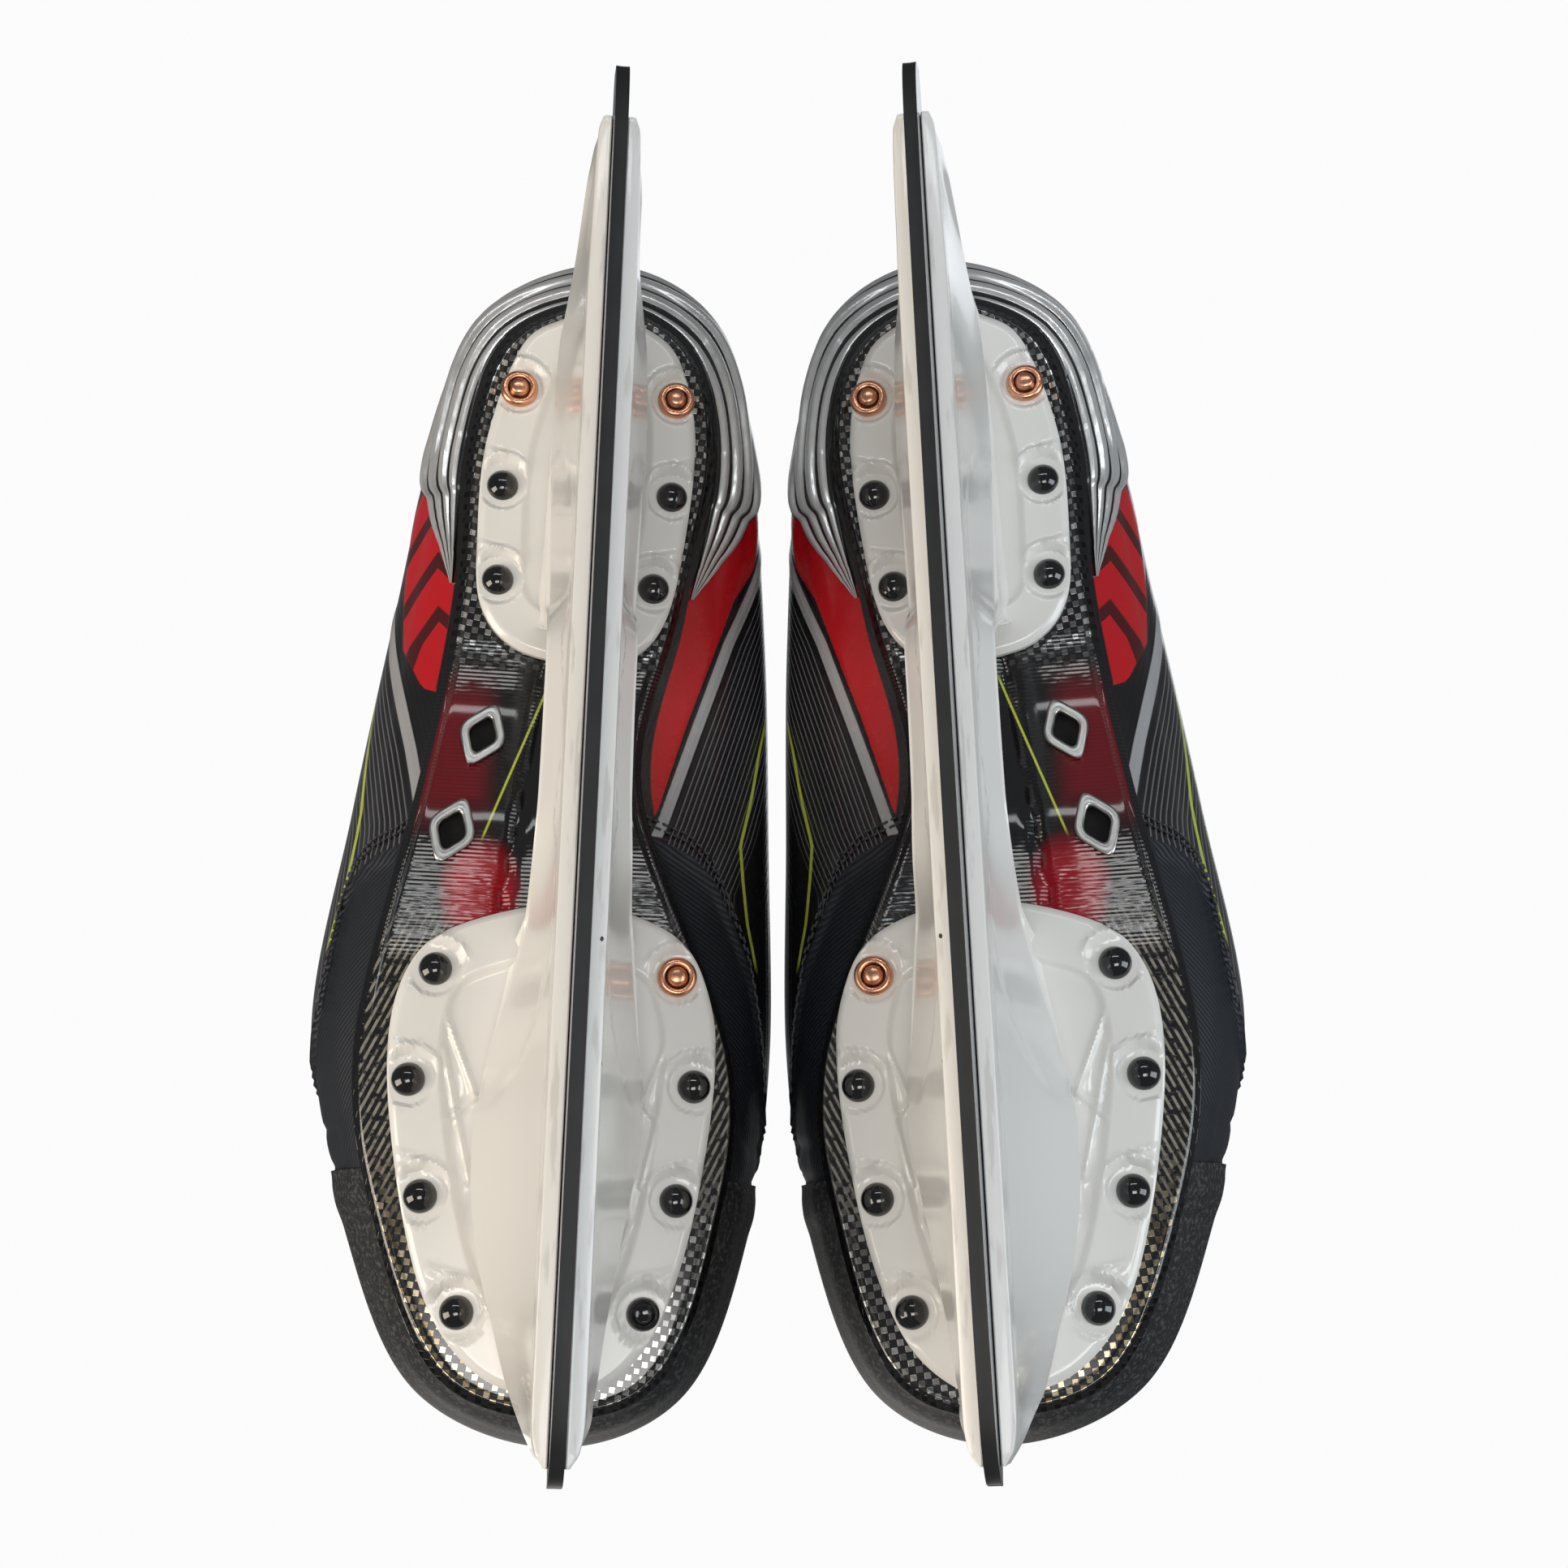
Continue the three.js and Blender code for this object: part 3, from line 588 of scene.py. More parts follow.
def counter_look():
    look = Look("heel_counter", (0.5, 0.5, 0.51), 0.2, 0.6, 0.3)
    _, flute, _ = look.parts("mark")
    x, y, z = look.place()
    # The counter is chrome; its partly diffuse silver base and streaks are painted reflection, and its flute
    # troughs and edges are near black.
    dark = flute.below(-0.62, 0.2)
    silver_streaks = look.noise(0.7, 3, look.vector(x * 0.3, y * 0.3, z * 2.0))
    color = look.mix(silver_streaks, (0.56, 0.565, 0.57), (0.8, 0.8, 0.8))
    color = look.mix(dark, color, DARK)
    look.set("Base Color", color)
    look.set("Metallic", 0.55 - dark * 0.55)
    look.set("Roughness", 0.17 + silver_streaks * 0.14)
    look.bump(look.noise(2.0, 3), 0.02, 0.4)
    return look.material


def cloth_look(name, low, high, roughness, pitch, depth):
    """A knitted or pressed cloth: crossed waves give its threads."""
    look = Look(name, low, roughness)
    x, y, z = look.place()
    fuzz = look.noise(0.8, 5, None, 0.7)
    threads = ((x + y) * (math.tau / pitch)).wave() * ((y + z - x * 0.4) * (math.tau / pitch)).wave()
    look.set("Base Color", look.mix(fuzz * 0.7 + threads * 0.15 + 0.15, low, high))
    look.bump(threads * 0.5 + fuzz, depth, 0.8)
    return look.material


def guard_look():
    look = Look("guard", (0.012, 0.012, 0.014), 0.42, 0.0, 0.1)
    grain = look.noise(1.6, 4)
    look.set("Roughness", 0.36 + grain * 0.2)
    look.bump(grain, 0.08, 0.6)
    return look.material


def trigger_look():
    look = Look("trigger_plastic", (0.45, 0.012, 0.014), 0.35)
    at = look.node("ShaderNodeTexCoord").outputs["Object"]
    look.set("Roughness", 0.3 + look.noise(700.0, 3, at) * 0.15)
    return look.material


def pin_look():
    look = Look("pin_steel", STEEL, 0.25, 1.0)
    at = look.node("ShaderNodeTexCoord").outputs["Object"]
    look.set("Roughness", 0.2 + look.noise(900.0, 3, at) * 0.2)
    return look.material


def thread_look(name, color):
    look = Look(name, color, 0.6)
    fuzz = look.noise(2.0, 3)
    look.set("Roughness", 0.5 + fuzz * 0.3)
    return look.material


LOOKS = {
    "steel": steel_look(), "holder": holder_look(), "rivet": black_rivet_look(), "copper": copper_look(),
    "carbon": carbon_look(), "vent": vent_look(), "quarter": quarter_look(), "toe_cap": toe_cap_look(),
    "counter": counter_look(), "trigger": trigger_look(), "pin": pin_look(), "guard": guard_look(),
    "lining": cloth_look("lining", (0.02, 0.021, 0.023), (0.09, 0.093, 0.1), 0.85, 1.6, 0.3),
    "footbed": cloth_look("footbed", (0.03, 0.031, 0.034), (0.12, 0.122, 0.13), 0.9, 1.2, 0.25),
    "felt": cloth_look("tongue_felt", (0.4, 0.4, 0.4), (0.62, 0.62, 0.61), 0.95, 0.9, 0.5),
    "lace": cloth_look("lace", (0.5, 0.48, 0.43), (0.75, 0.73, 0.68), 0.8, 0.7, 0.25),
    "binding": thread_look("binding", (0.012, 0.012, 0.014)),
    "stitch": thread_look("stitch", (0.05, 0.052, 0.06)),
}


# ---- the boot's form: loops of sixteen stations, from the toe round the outer side, heel and inner side ----
SOLE_PLAN = [
    (-1, -137), (24, -129), (39, -98), (46, -59), (36, 0), (30, 45), (29, 85), (21, 111),
    (-1, 121), (-21, 111), (-27.5, 85), (-21, 45), (-14, 0), (-36, -59), (-34, -98), (-23, -129),
]
BROAD_PLAN = [
    (-2, -144), (29, -132), (46, -98), (57, -54), (52, -2), (46, 45), (39, 88), (28, 122),
    (-2, 137), (-29, 124), (-40, 88), (-45.5, 45), (-47.5, -2), (-48, -54), (-43, -98), (-30, -132),
]
UPPER_PLAN = [
    (-2, -138), (22, -125), (33, -95), (40, -54), (38, 0), (39, 42), (37, 80), (25, 113),
    (-2, 127), (-27, 113), (-38, 80), (-40, 42), (-38, 0), (-37, -54), (-32, -95), (-23, -125),
]
EDGE_PLAN = [
    (-2, -124), (-2, -112), (-2, -90), (13, -60), (19, -4), (25, 42), (35, 80), (24, 109),
    (-2, 121), (-26, 109), (-36, 80), (-27, 42), (-22, -4), (-15, -60), (-2, -90), (-2, -112),
]


def both_sides(half):
    return half + half[-2:0:-1]


BROAD_RISE = both_sides([26, 26, 28, 32, 38, 40, 34, 30, 30])
UPPER_RISE = both_sides([41, 44, 48, 61, 82, 93, 88, 86, 84])
EDGE_RISE = both_sides([50, 52, 58, 70, 104, 144, 140, 144, 147])


def raised(plan, rise):
    return np.column_stack([np.array(plan, float), FRONT_SOLE + np.array(rise, float)])


SOLE_LOOP = np.array(SOLE_PLAN, float)
SOLE_LOOP = np.column_stack([SOLE_LOOP, sole_height(SOLE_LOOP[:, 1]) + SOLE + GAP])
BROAD_LOOP = raised(BROAD_PLAN, BROAD_RISE)
FLARE_LOOP = lerp(SOLE_LOOP, BROAD_LOOP, np.array([0.66, 0.66, 0.4]))
BOOT_LOOPS = [SOLE_LOOP, FLARE_LOOP, BROAD_LOOP, raised(UPPER_PLAN, UPPER_RISE), raised(EDGE_PLAN, EDGE_RISE)]
TOP_LEVEL = len(BOOT_LOOPS) - 1
STATIONS = len(SOLE_PLAN)
THROAT = 2.9 / STATIONS  # where the laced opening ends and the collar starts, as a share of the loop


def inset_loop(loop, u, inset):
    """A loop's points at the shares u, moved inwards in plan."""
    point = closed_curve(loop, u)
    along = closed_curve(loop, u + 0.004) - closed_curve(loop, u - 0.004)
    length = np.maximum(np.hypot(along[..., 0], along[..., 1]), 1e-6)
    point[..., 0] -= inset * along[..., 1] / length
    point[..., 1] += inset * along[..., 0] / length
    return point


def sole_outline(u, inset):
    """The sole's outline on its upper face, moved inwards."""
    point = inset_loop(SOLE_LOOP, u, inset)
    point[..., 2] = sole_height(closed_curve(SOLE_LOOP, u)[..., 1]) + SOLE
    return point


def boot_form(u, v, inset=0.0, lift=0.0):
    """The boot's surface: round the loops by u, and over them from the sole (v = 0) to the top edge (v = 1)
    by v."""
    u, v = np.broadcast_arrays(np.asarray(u, float), np.asarray(v, float))
    station = STATIONS / 2 - np.abs(np.mod(u, 1) * STATIONS - STATIONS / 2)
    levels = []
    for level, loop in enumerate(BOOT_LOOPS):
        here = inset * ramp(station, 2, 3) if level == TOP_LEVEL else inset
        levels.append(inset_loop(loop, u, here))
    levels[0][..., 2] = sole_outline(u, 0)[..., 2] + GAP
    stack = np.stack([2 * levels[0] - levels[1], *levels, 2 * levels[-1] - levels[-2]])
    place = np.clip(v, 0, 1) * TOP_LEVEL
    i = np.minimum(np.floor(place).astype(int), TOP_LEVEL - 1)
    t = (place - i)[..., None]
    rows = np.indices(i.shape)
    p0, p1, p2, p3 = (stack[(i + k, *rows)] for k in range(4))
    point = spline(p0, p1, p2, p3, t)
    point[..., 2] += lift * (1 - v) ** 4 - inset * v**3
    return point


def pushed(grid, amount, wrap=False):
    """A grid moved outwards along its own normals."""
    normal = normals_of(grid, wrap)
    centre = grid.reshape(-1, 3).mean(0)
    if np.einsum("ijk,ijk->ij", normal, grid - centre).mean() < 0:
        normal = -normal
    return grid + normal * np.asarray(amount)[..., None]


def monotone(at, xs, ys):
    """A smooth line through the points that never overshoots them."""
    xs, ys = np.asarray(xs, float), np.asarray(ys, float)
    step = np.diff(xs)
    slope = np.diff(ys) / step
    mid = np.zeros(len(xs))
    both = slope[:-1] * slope[1:] > 0
    total = np.where(both, slope[:-1] + slope[1:], 1.0)
    mid[1:-1] = np.where(both, 2 * slope[:-1] * slope[1:] / total, 0.0)
    mid[0], mid[-1] = slope[0], slope[-1]
    at = np.clip(np.asarray(at, float), xs[0], xs[-1])
    i = np.clip(np.searchsorted(xs, at, side="right") - 1, 0, len(step) - 1)
    t = (at - xs[i]) / step[i]
    a = ys[i] * (1 + 2 * t) * (1 - t) ** 2 + ys[i + 1] * t * t * (3 - 2 * t)
    return a + step[i] * (mid[i] * t * (1 - t) ** 2 + mid[i + 1] * t * t * (t - 1))


def distance_to(points, line):
    """How far each plan point lies from a closed line."""
    best = np.full(points.shape[:-1], 1e9)
    ends = np.roll(line, -1, 0)
    for a, b in zip(line[:, :2], ends[:, :2]):
        along = b - a
        t = np.clip(((points[..., :2] - a) @ along) / max(along @ along, 1e-9), 0, 1)
        best = np.minimum(best, np.linalg.norm(points[..., :2] - a - t[..., None] * along, axis=-1))
    return best


# ---- the steel runner ----
def runner_mesh():
    """A blade 2.95 mm thick: for each place along it a closed section with a hollow-ground bottom and tabs
    on top."""
    low = np.array([
        (-148, 17.5), (-147, 12), (-143, 7.5), (-135, 4.2), (-118, 1.9), (-98, 1.55), (-58, 0.55), (-22, 0.0),
        (26, 0.0), (62, 0.55), (102, 1.75), (128, 3.6), (142, 5.6), (150, 9.5), (152, 15.5),
    ], float)
    curve = even(open_curve(low, np.linspace(0, 1, 600)), 320)
    y, bottom = curve[:, 0], np.maximum(curve[:, 1], 0)
    top = np.full_like(y, 19.0)
    for start, end, high in ((78, 98, 42.0), (-98, -76, 34.0)):
        top += (high - 19.0) * ramp(y, start - 3, start) * (1 - ramp(y, end, end + 3))
    top = np.minimum(top, 19.0 - 2.2 * ramp(-y, 144, 148) - 1.2 * ramp(y, 149, 152) + 99 * (np.abs(y) < 120))
    half, bevel = RUNNER_HALF, 0.12
    hollow = [(-half, 0.0), (-half * 0.55, 0.1), (0, 0.16), (half * 0.55, 0.1), (half, 0.0)]
    section = [(x, lift, 0.0, 1.0) for x, lift in hollow]
    section += [(half, 0.25, 0.0, 0.0), (half, 3.0, 0.0, 0.0), (half, 0.0, 0.5, 0.0)]
    section += [(half, -bevel, 1.0, 0.0)]
    section += [(half - bevel, 0.0, 1.0, 0.0), (-half + bevel, 0.0, 1.0, 0.0), (-half, -bevel, 1.0, 0.0)]
    section += [(-half, 0.0, 0.5, 0.0), (-half, 3.0, 0.0, 0.0), (-half, 0.25, 0.0, 0.0)]
    rows, marks = [], []
    for x, lift, share, mark in section:
        z = lerp(bottom, top, share) + lift
        rows.append(np.column_stack([np.full_like(y, x), y, np.minimum(z, top)]))
        marks.append(np.column_stack([np.full_like(y, mark), y, y]))
    return tube_mesh(np.array(rows)), np.vstack([np.array(marks).reshape(-1, 3), np.zeros((2, 3))])


# ---- the blade holder ----
TOWERS = np.array([
    # y, top, then half widths: rail, ridge outer, ridge inner, wall top outer, wall top inner
    (-144, 21, 2.6, 3.0, 3.0, 2.4, 2.4), (-141, 26, 4.4, 5.0, 5.0, 3.6, 3.6),
    (-136, 38, 5.2, 7.4, 7.2, 5.2, 5.2), (-130, 58.6, 5.3, 9.8, 8.8, 7.4, 7.0),
    (-120, 59.4, 5.3, 12.8, 9.9, 9.6, 8.0), (-103, 59.4, 5.3, 17.5, 12.3, 13.8, 10.4),
    (-87, 59.4, 5.3, 19.5, 14.8, 16.6, 13.0), (-80, 59.4, 5.3, 19.6, 15.8, 16.9, 14.0),
    (-70, 59.4, 5.3, 18.8, 16.4, 16.4, 14.6), (-58, 59.4, 5.3, 16.7, 14.9, 14.8, 13.6),
    (-47, 59.4, 5.3, 14.0, 13.9, 12.8, 12.6), (-38, 59.4, 5.3, 12.1, 13.0, 11.4, 12.0),
    (-32, 54, 5.3, 11.2, 12.3, 10.0, 11.0), (-22, 40, 5.3, 10.6, 11.0, 8.6, 8.8),
    (-8, 31.6, 5.3, 10.1, 10.0, 8.0, 8.0), (14, 31, 5.3, 10.0, 9.8, 8.0, 8.0),
    (24, 36, 5.3, 10.0, 9.9, 8.4, 8.4), (33, 50, 5.3, 10.1, 10.0, 9.0, 9.0),
    (40, 67.4, 5.3, 10.3, 10.2, 9.8, 9.6), (60, 67.4, 5.3, 10.6, 10.5, 9.0, 8.8),
    (80, 67.4, 5.3, 10.6, 10.6, 8.6, 8.6), (97, 67.4, 5.3, 10.2, 10.0, 8.2, 8.2),
    (111, 67.4, 5.1, 8.6, 8.4, 7.4, 7.4), (120, 58, 5.0, 7.4, 7.2, 6.4, 6.4),
    (130, 38, 4.8, 6.2, 6.2, 5.0, 5.0), (136, 25, 4.5, 5.2, 5.2, 4.2, 4.2),
    (139, 21, 3.6, 4.0, 4.0, 3.2, 3.2),
], float)
SCALLOPS = ((-74, -2), (-32, 34), (12, 72))  # where each dent in the flanks begins and ends
FLANK_STEPS, WALL_STEPS = 16, 9


def tower_side(y, side):
    """One side of the holder's section at each y: from the slot round the rail and up to the middle of the
    top."""
    top, rail = (monotone(y, TOWERS[:, 0], TOWERS[:, k]) for k in (1, 2))
    ridge = monotone(y, TOWERS[:, 0], TOWERS[:, 3 if side > 0 else 4])
    crown = monotone(y, TOWERS[:, 0], TOWERS[:, 5 if side > 0 else 6])
    deck = np.where(y > 0, HEEL_DECK, FRONT_DECK)
    tall = np.clip((top - BEAM_TOP) / (deck - BEAM_TOP), 0, 1)
    ridge_z = np.minimum(lerp(25.5, 45.5, smooth(tall)), top - 2.5)
    slot = np.full_like(y, 19.4)
    for start, end, high in ((77.5, 98.5, 42.4), (-98.5, -75.5, 34.4)):
        slot += (high - 19.4) * ramp(y, start - 2, start) * (1 - ramp(y, end, end + 2))
    slot = np.minimum(slot, top - 1.0)
    points = [(0.0, slot), (1.6, slot), (1.78, slot - 0.2), (1.78, RAIL_BOTTOM + 0.3), (2.05, RAIL_BOTTOM)]
    points += [(rail - 0.7, RAIL_BOTTOM), (rail - 0.2, RAIL_BOTTOM + 0.25), (rail, RAIL_BOTTOM + 0.8)]
    points += [(rail, RAIL_BOTTOM + 3.0)]
    start_z = np.minimum(16.6, top - 3.4)
    for k in range(FLANK_STEPS + 1):
        t = k / FLANK_STEPS
        hollow = -0.7 * math.sin(math.pi * t) * smooth(tall * 3)
        dent = np.zeros_like(y)
        for begin, finish in SCALLOPS:
            along = np.clip((y - begin) / (finish - begin), 0, 1)
            reach = 0.12 + 0.62 * np.sin(np.pi * along) ** 0.75
            edge = np.clip((reach - np.abs(t - (0.92 - 0.1 * along))) / 0.09, 0, 1)
            inside = (y > begin) & (y < finish)
            dent = np.maximum(dent, smooth(edge) * inside * np.sin(np.pi * along) ** 0.5)
        flank = lerp(rail + 0.05, ridge, t) + hollow - dent * 0.75
        points.append((flank, lerp(start_z, ridge_z, t) + dent * 0.35))
    points.append((ridge - 0.25, ridge_z + 0.55))
    for k in range(1, WALL_STEPS + 1):
        t = k / WALL_STEPS
        inward = lerp(ridge - 0.45, crown, smooth(min(1, t * 1.25)))
        flare = 3.6 * np.maximum(0, t - 0.78) ** 2 / 0.0484 * tall**3 * 0.55
        points.append((inward + flare, lerp(ridge_z + 0.9, top, t)))
    points.append((crown * 0.5, top))
    return [np.column_stack(np.broadcast_arrays(side * x, y, z)) for x, z in points]


def tower_mesh():
    """The rail, beam and two towers as one loft; its sections keep their corners, so the ridges stay
    crisp."""
    toe, middle, heel = np.linspace(-144, -130, 24), np.linspace(-130, 130, 330), np.linspace(130, 139, 20)
    y = np.concatenate([toe[:-1], middle[:-1], heel])
    verts, faces = tube_mesh(np.array(tower_side(y, 1) + tower_side(y, -1)[:0:-1]))
    for hub, col in ((len(verts) - 2, 0), (len(verts) - 1, -1)):
        verts[hub] = (0, y[col], 20.2)
    return verts, faces


FRONT_PLAN = [
    (0, -132.5), (15, -128.5), (26.6, -115), (34, -92), (38.5, -62), (35.5, -43), (25, -33), (0, -27),
    (-22, -33), (-30.5, -47), (-32, -66), (-28, -97), (-21, -119), (-11, -130),
]
HEEL_PLAN = [
    (0, 31), (16, 34), (24.5, 44), (26, 62), (25, 84), (18.5, 107), (10, 114.5), (0, 117),
    (-10, 114.5), (-18.5, 107), (-23, 88), (-21.5, 62), (-18, 43), (-11, 33.5),
]
# name, x, y, and 1 where the rivet is copper
FRONT_RIVETS = [
    ("outer_1", 29.7, -42.5, 0), ("outer_2", 34.1, -66.8, 0),
    ("outer_3", 30, -91.6, 0), ("outer_4", 20.9, -115.7, 0),
    ("inner_1", -23.3, -42.1, 1), ("inner_2", -28, -66, 0),
    ("inner_3", -25, -90.8, 0), ("inner_4", -18.8, -115, 0),
]
HEEL_RIVETS = [
    ("outer_1", 18.6, 96.6, 1), ("outer_2", 21.2, 72.6, 0), ("outer_3", 21.1, 49.6, 0),
    ("inner_1", -18.5, 96.6, 1), ("inner_2", -18.4, 72.6, 0), ("inner_3", -15, 49.8, 0),
]
SEAT = 0.9  # how far the rivet seats stand proud of the deck's lowest face
FRONT_RIBS = (
    ((31, -43), (19.5, -70)), ((27, -60), (20, -88)), ((26, -76), (19.5, -70)), ((17.5, -96), (9, -121)),
)
FRONT_BOSSES = ((22.6, -72), (20.4, -92), (14.5, -113))


def rib(x, y, a, b, width):
    """1 on the line from a to b, falling to 0 at width away."""
    a, b = np.array(a, float), np.array(b, float)
    along = b - a
    t = np.clip(((x - a[0]) * along[0] + (y - a[1]) * along[1]) / (along @ along), 0, 1)
    far = np.hypot(x - a[0] - t * along[0], y - a[1] - t * along[1])
    return smooth(1 - far / width)


def plate_mesh(plan, deck, middle, rivets, band):
    """A foot plate as a closed star-shaped sheet round its middle. Its underside carries a raised band,
    round rivet seats with crescent lips, a sunk valley and ribs; every height comes from a smooth step of a
    plan distance."""
    flat = np.array([(x, y, 0.0) for x, y in plan])
    outline = even(closed_curve(flat, np.linspace(0, 1, 1401)[:-1])[:, :2], 300, True)
    line = even(outline, 120, True)
    t = np.concatenate([np.linspace(0.0, 0.3, 8)[1:], np.linspace(0.3, 1, 84)[1:]])
    centre = np.array(middle, float)
    under = centre + (outline - centre)[:, None, :] * t[None, :, None]
    x, y = under[..., 0], under[..., 1]
    d = distance_to(under, line)
    relief = 0.75 * (1 - np.minimum(d / 1.5, 1)) ** 2
    sunk = ramp(d, band - 1.1, band + 0.9)
    relief += 1.2 * sunk
    for _, rx, ry, _ in rivets:
        r = np.hypot(x - rx, y - ry)
        toward = 1 - ramp(np.abs(y - ry), 2.0, 4.6)
        outside = toward * ((x - rx) * np.sign(rx) > 0)
        seat = 1 - ramp(r, 5.3, 6.3)
        share = np.maximum(seat, outside * 0.75 * (1 - ramp(d, 6, 9)))
        relief = lerp(relief, np.maximum(relief, SEAT), share)
        crescent = (1 - ramp(np.abs(r - 7.4), 0.1, 1.1)) * ramp(y - ry, 1.0, 4.5)
        relief -= 0.6 * crescent * (1 - sunk)
        tail = rib(x, y, (rx, ry + 7.4), (rx + np.sign(rx) * 6, ry + 8.6), 1.2)
        relief -= 0.5 * tail * (1 - sunk)
    if deck == FRONT_DECK:
        for reach in (1.0, -0.86):
            sx = x / reach
            for a, b in FRONT_RIBS:
                relief -= 0.9 * rib(sx, y, a, b, 1.15) * sunk
            for cx, cy in FRONT_BOSSES:
                relief += 0.7 * smooth(1.25 - np.hypot((sx - cx) / 2.4, (y - cy) / 6.0)) * sunk
    under = np.dstack([x, y, deck + relief])
    away = unit(outline - centre)
    side = []
    for out, up in ((0.0, 0.75), (0.45, 1.25), (0.5, 1.9), (0.45, PLATE - 0.6), (0.0, PLATE)):
        side.append(np.column_stack([outline + away * out, np.full(len(outline), deck + up)]))
    over = centre + (outline - centre)[:, None, :] * np.array([0.85, 0.5, 0.15])[None, :, None]
    over = np.dstack([over, np.full(over.shape[:2], deck + PLATE)])
    return tube_mesh(np.concatenate([under, np.stack(side, 1)[:, 1:], over], axis=1))


def cutter(name, mesh, side):
    """A closed tool for subtract."""
    made = piece(name, mesh, side, None, LOOKS["holder"], crisp=0)
    made.hide_render = True
    return made


def prism(profile, low, high, across=True):
    """A closed block: a profile of y, z points between two x places, or of x, y points between two
    heights."""
    a = np.array([((low, p, q) if across else (p, q, low)) for p, q in profile], float)
    b = np.array([((high, p, q) if across else (p, q, high)) for p, q in profile], float)
    return tube_mesh(np.stack([a, b], axis=1))


def subtract(made, tools):
    """Cuts closed tools out of a piece and removes them."""
    for tool in tools:
        modifier = made.modifiers.new("cut", "BOOLEAN")
        modifier.operation, modifier.object, modifier.solver = "DIFFERENCE", tool, "EXACT"
        bpy.context.view_layer.update()
        graph = bpy.context.evaluated_depsgraph_get()
        cut = made.evaluated_get(graph)
        fresh = bpy.data.meshes.new_from_object(cut, preserve_all_data_layers=True, depsgraph=graph)
        made.modifiers.clear()
        old = made.data
        fresh.name = old.name + "_cut"
        made.data = fresh
        bpy.data.meshes.remove(old)
        bpy.data.objects.remove(tool)


def retag(made, side, marks=None):
    """Writes a cut piece's local places again, and its marks from them."""
    co = np.empty(len(made.data.vertices) * 3)
    made.data.vertices.foreach_get("co", co)
    local = to_local(co.reshape(-1, 3), side)
    for name, values in (("spot", local), ("mark", marks(local) if marks else None)):
        if values is None:
            continue
        old = made.data.attributes.get(name)
        if old is not None:
            made.data.attributes.remove(old)
        made.data.attributes.new(name, "FLOAT_VECTOR", "POINT").data.foreach_set(
            "vector", np.asarray(values, np.float32).ravel()
        )


def sole_marks(local):
    """How far each point lies from the sole's edge, and its place along and across."""
    line = even(sole_outline(np.linspace(0, 1, 801)[:-1], -0.4)[:, :2], 200, True)
    return np.column_stack([distance_to(local, line), local[:, 1], local[:, 0]])


RIVET_HEAD = 4.4  # the copper heads' radius


def dome_mesh(x, y, z, profile, around=40):
    """A turned solid on an upright axis at x, y from a profile of radius and height, which ends on the
    axis."""
    turn = np.linspace(0, math.tau, around + 1)[:-1]
    r, up = np.array(profile, float).T
    plan = [x + np.outer(np.cos(turn), r), y + np.outer(np.sin(turn), r)]
    verts, faces = tube_mesh(np.dstack([*plan, z + np.tile(up, (around, 1))]))
    marks = np.zeros((len(verts), 3))
    marks[:-2, 1] = np.tile(r / RIVET_HEAD, around)
    return (verts, faces), marks


def rivet_profile(copper, hollow=False):
    """Radius and height of a head, from its middle outwards and up the shank: a copper ring, an open ring
    or a dome."""
    if copper:
        arc = [(1.9 * math.sin(t), -2.3 - 0.55 * math.cos(t)) for t in np.linspace(0.02, math.pi / 2, 8)]
        return arc + [(2.15, -1.75), (2.6, -1.35), (2.75, -1.5), (3.4, -1.7), (4.1, -1.45),
                      (RIVET_HEAD, -0.9), (RIVET_HEAD, 0.0), (1.9, 0.3), (1.9, 2.6), (0.05, 2.6)]
    if hollow:
        return [(0.02, -0.9), (1.5, -0.95), (2.0, -1.2), (2.25, -1.9), (2.6, -2.2), (3.1, -1.95), (3.5, -1.2),
                (3.7, 0.3), (1.9, 0.5), (1.9, 2.6), (0.05, 2.6)]
    arc = [(3.7 * math.sin(t), 0.35 - 2.9 * math.cos(t)) for t in np.linspace(0.02, math.pi / 2, 14)]
    return arc + [(3.7, 0.7), (1.9, 0.8), (1.9, 2.6), (0.05, 2.6)]


# ---- sole and vents ----
VENTS = [("vent_rear", 22.5, 12.6), ("vent_front", 28, -11)]
RHOMBUS = np.array([(0.35, -1), (0.66, 0.25), (-0.35, 1), (-0.66, -0.25)], float)


def outsole_mesh():
    """The sole plate: it is ruled between the two sides of its outline, and its underside adds a rounding
    and a rim by the distance from the outline and a groove along the arch."""
    s = 0.5 - 0.5 * np.cos(np.linspace(0.012, math.pi - 0.012, 400))
    outer, inner = sole_outline(s / 2, -0.4), sole_outline(1 - s / 2, -0.4)
    t = 0.5 - 0.5 * np.cos(np.linspace(0, math.pi, 66))
    across = (outer[:, None, :] * (1 - t[:, None]) + inner[:, None, :] * t[:, None])
    line = even(sole_outline(np.linspace(0, 1, 801)[:-1], -0.4)[:, :2], 200, True)
    d = distance_to(across, line)
    x, y = across[..., 0], across[..., 1]
    height = sole_height(y)
    arch = ramp(y, -40, -26) * (1 - ramp(y, 28, 42))
    rounding = 1.3 * (1 - np.minimum(d / 2.2, 1)) ** 2
    rim = 0.5 * bump_at(d, 1.9, 1.3)
    middle = 12.5 - 0.13 * y
    groove = 1.3 * bump_at(x, middle, 1.5) * arch + 0.5 * smooth(1 - np.abs(x - middle) / 9) * arch
    under = np.dstack([x, y, height + rounding - rim + groove])
    over = np.dstack([x, y, height + SOLE - 0.1 * (1 - np.minimum(d / 1.0, 1))])
    verts, faces = thick_mesh(under, over)
    marks = np.tile(np.column_stack([d.ravel(), y.ravel(), x.ravel()]), (2, 1))
    return (verts, faces), marks


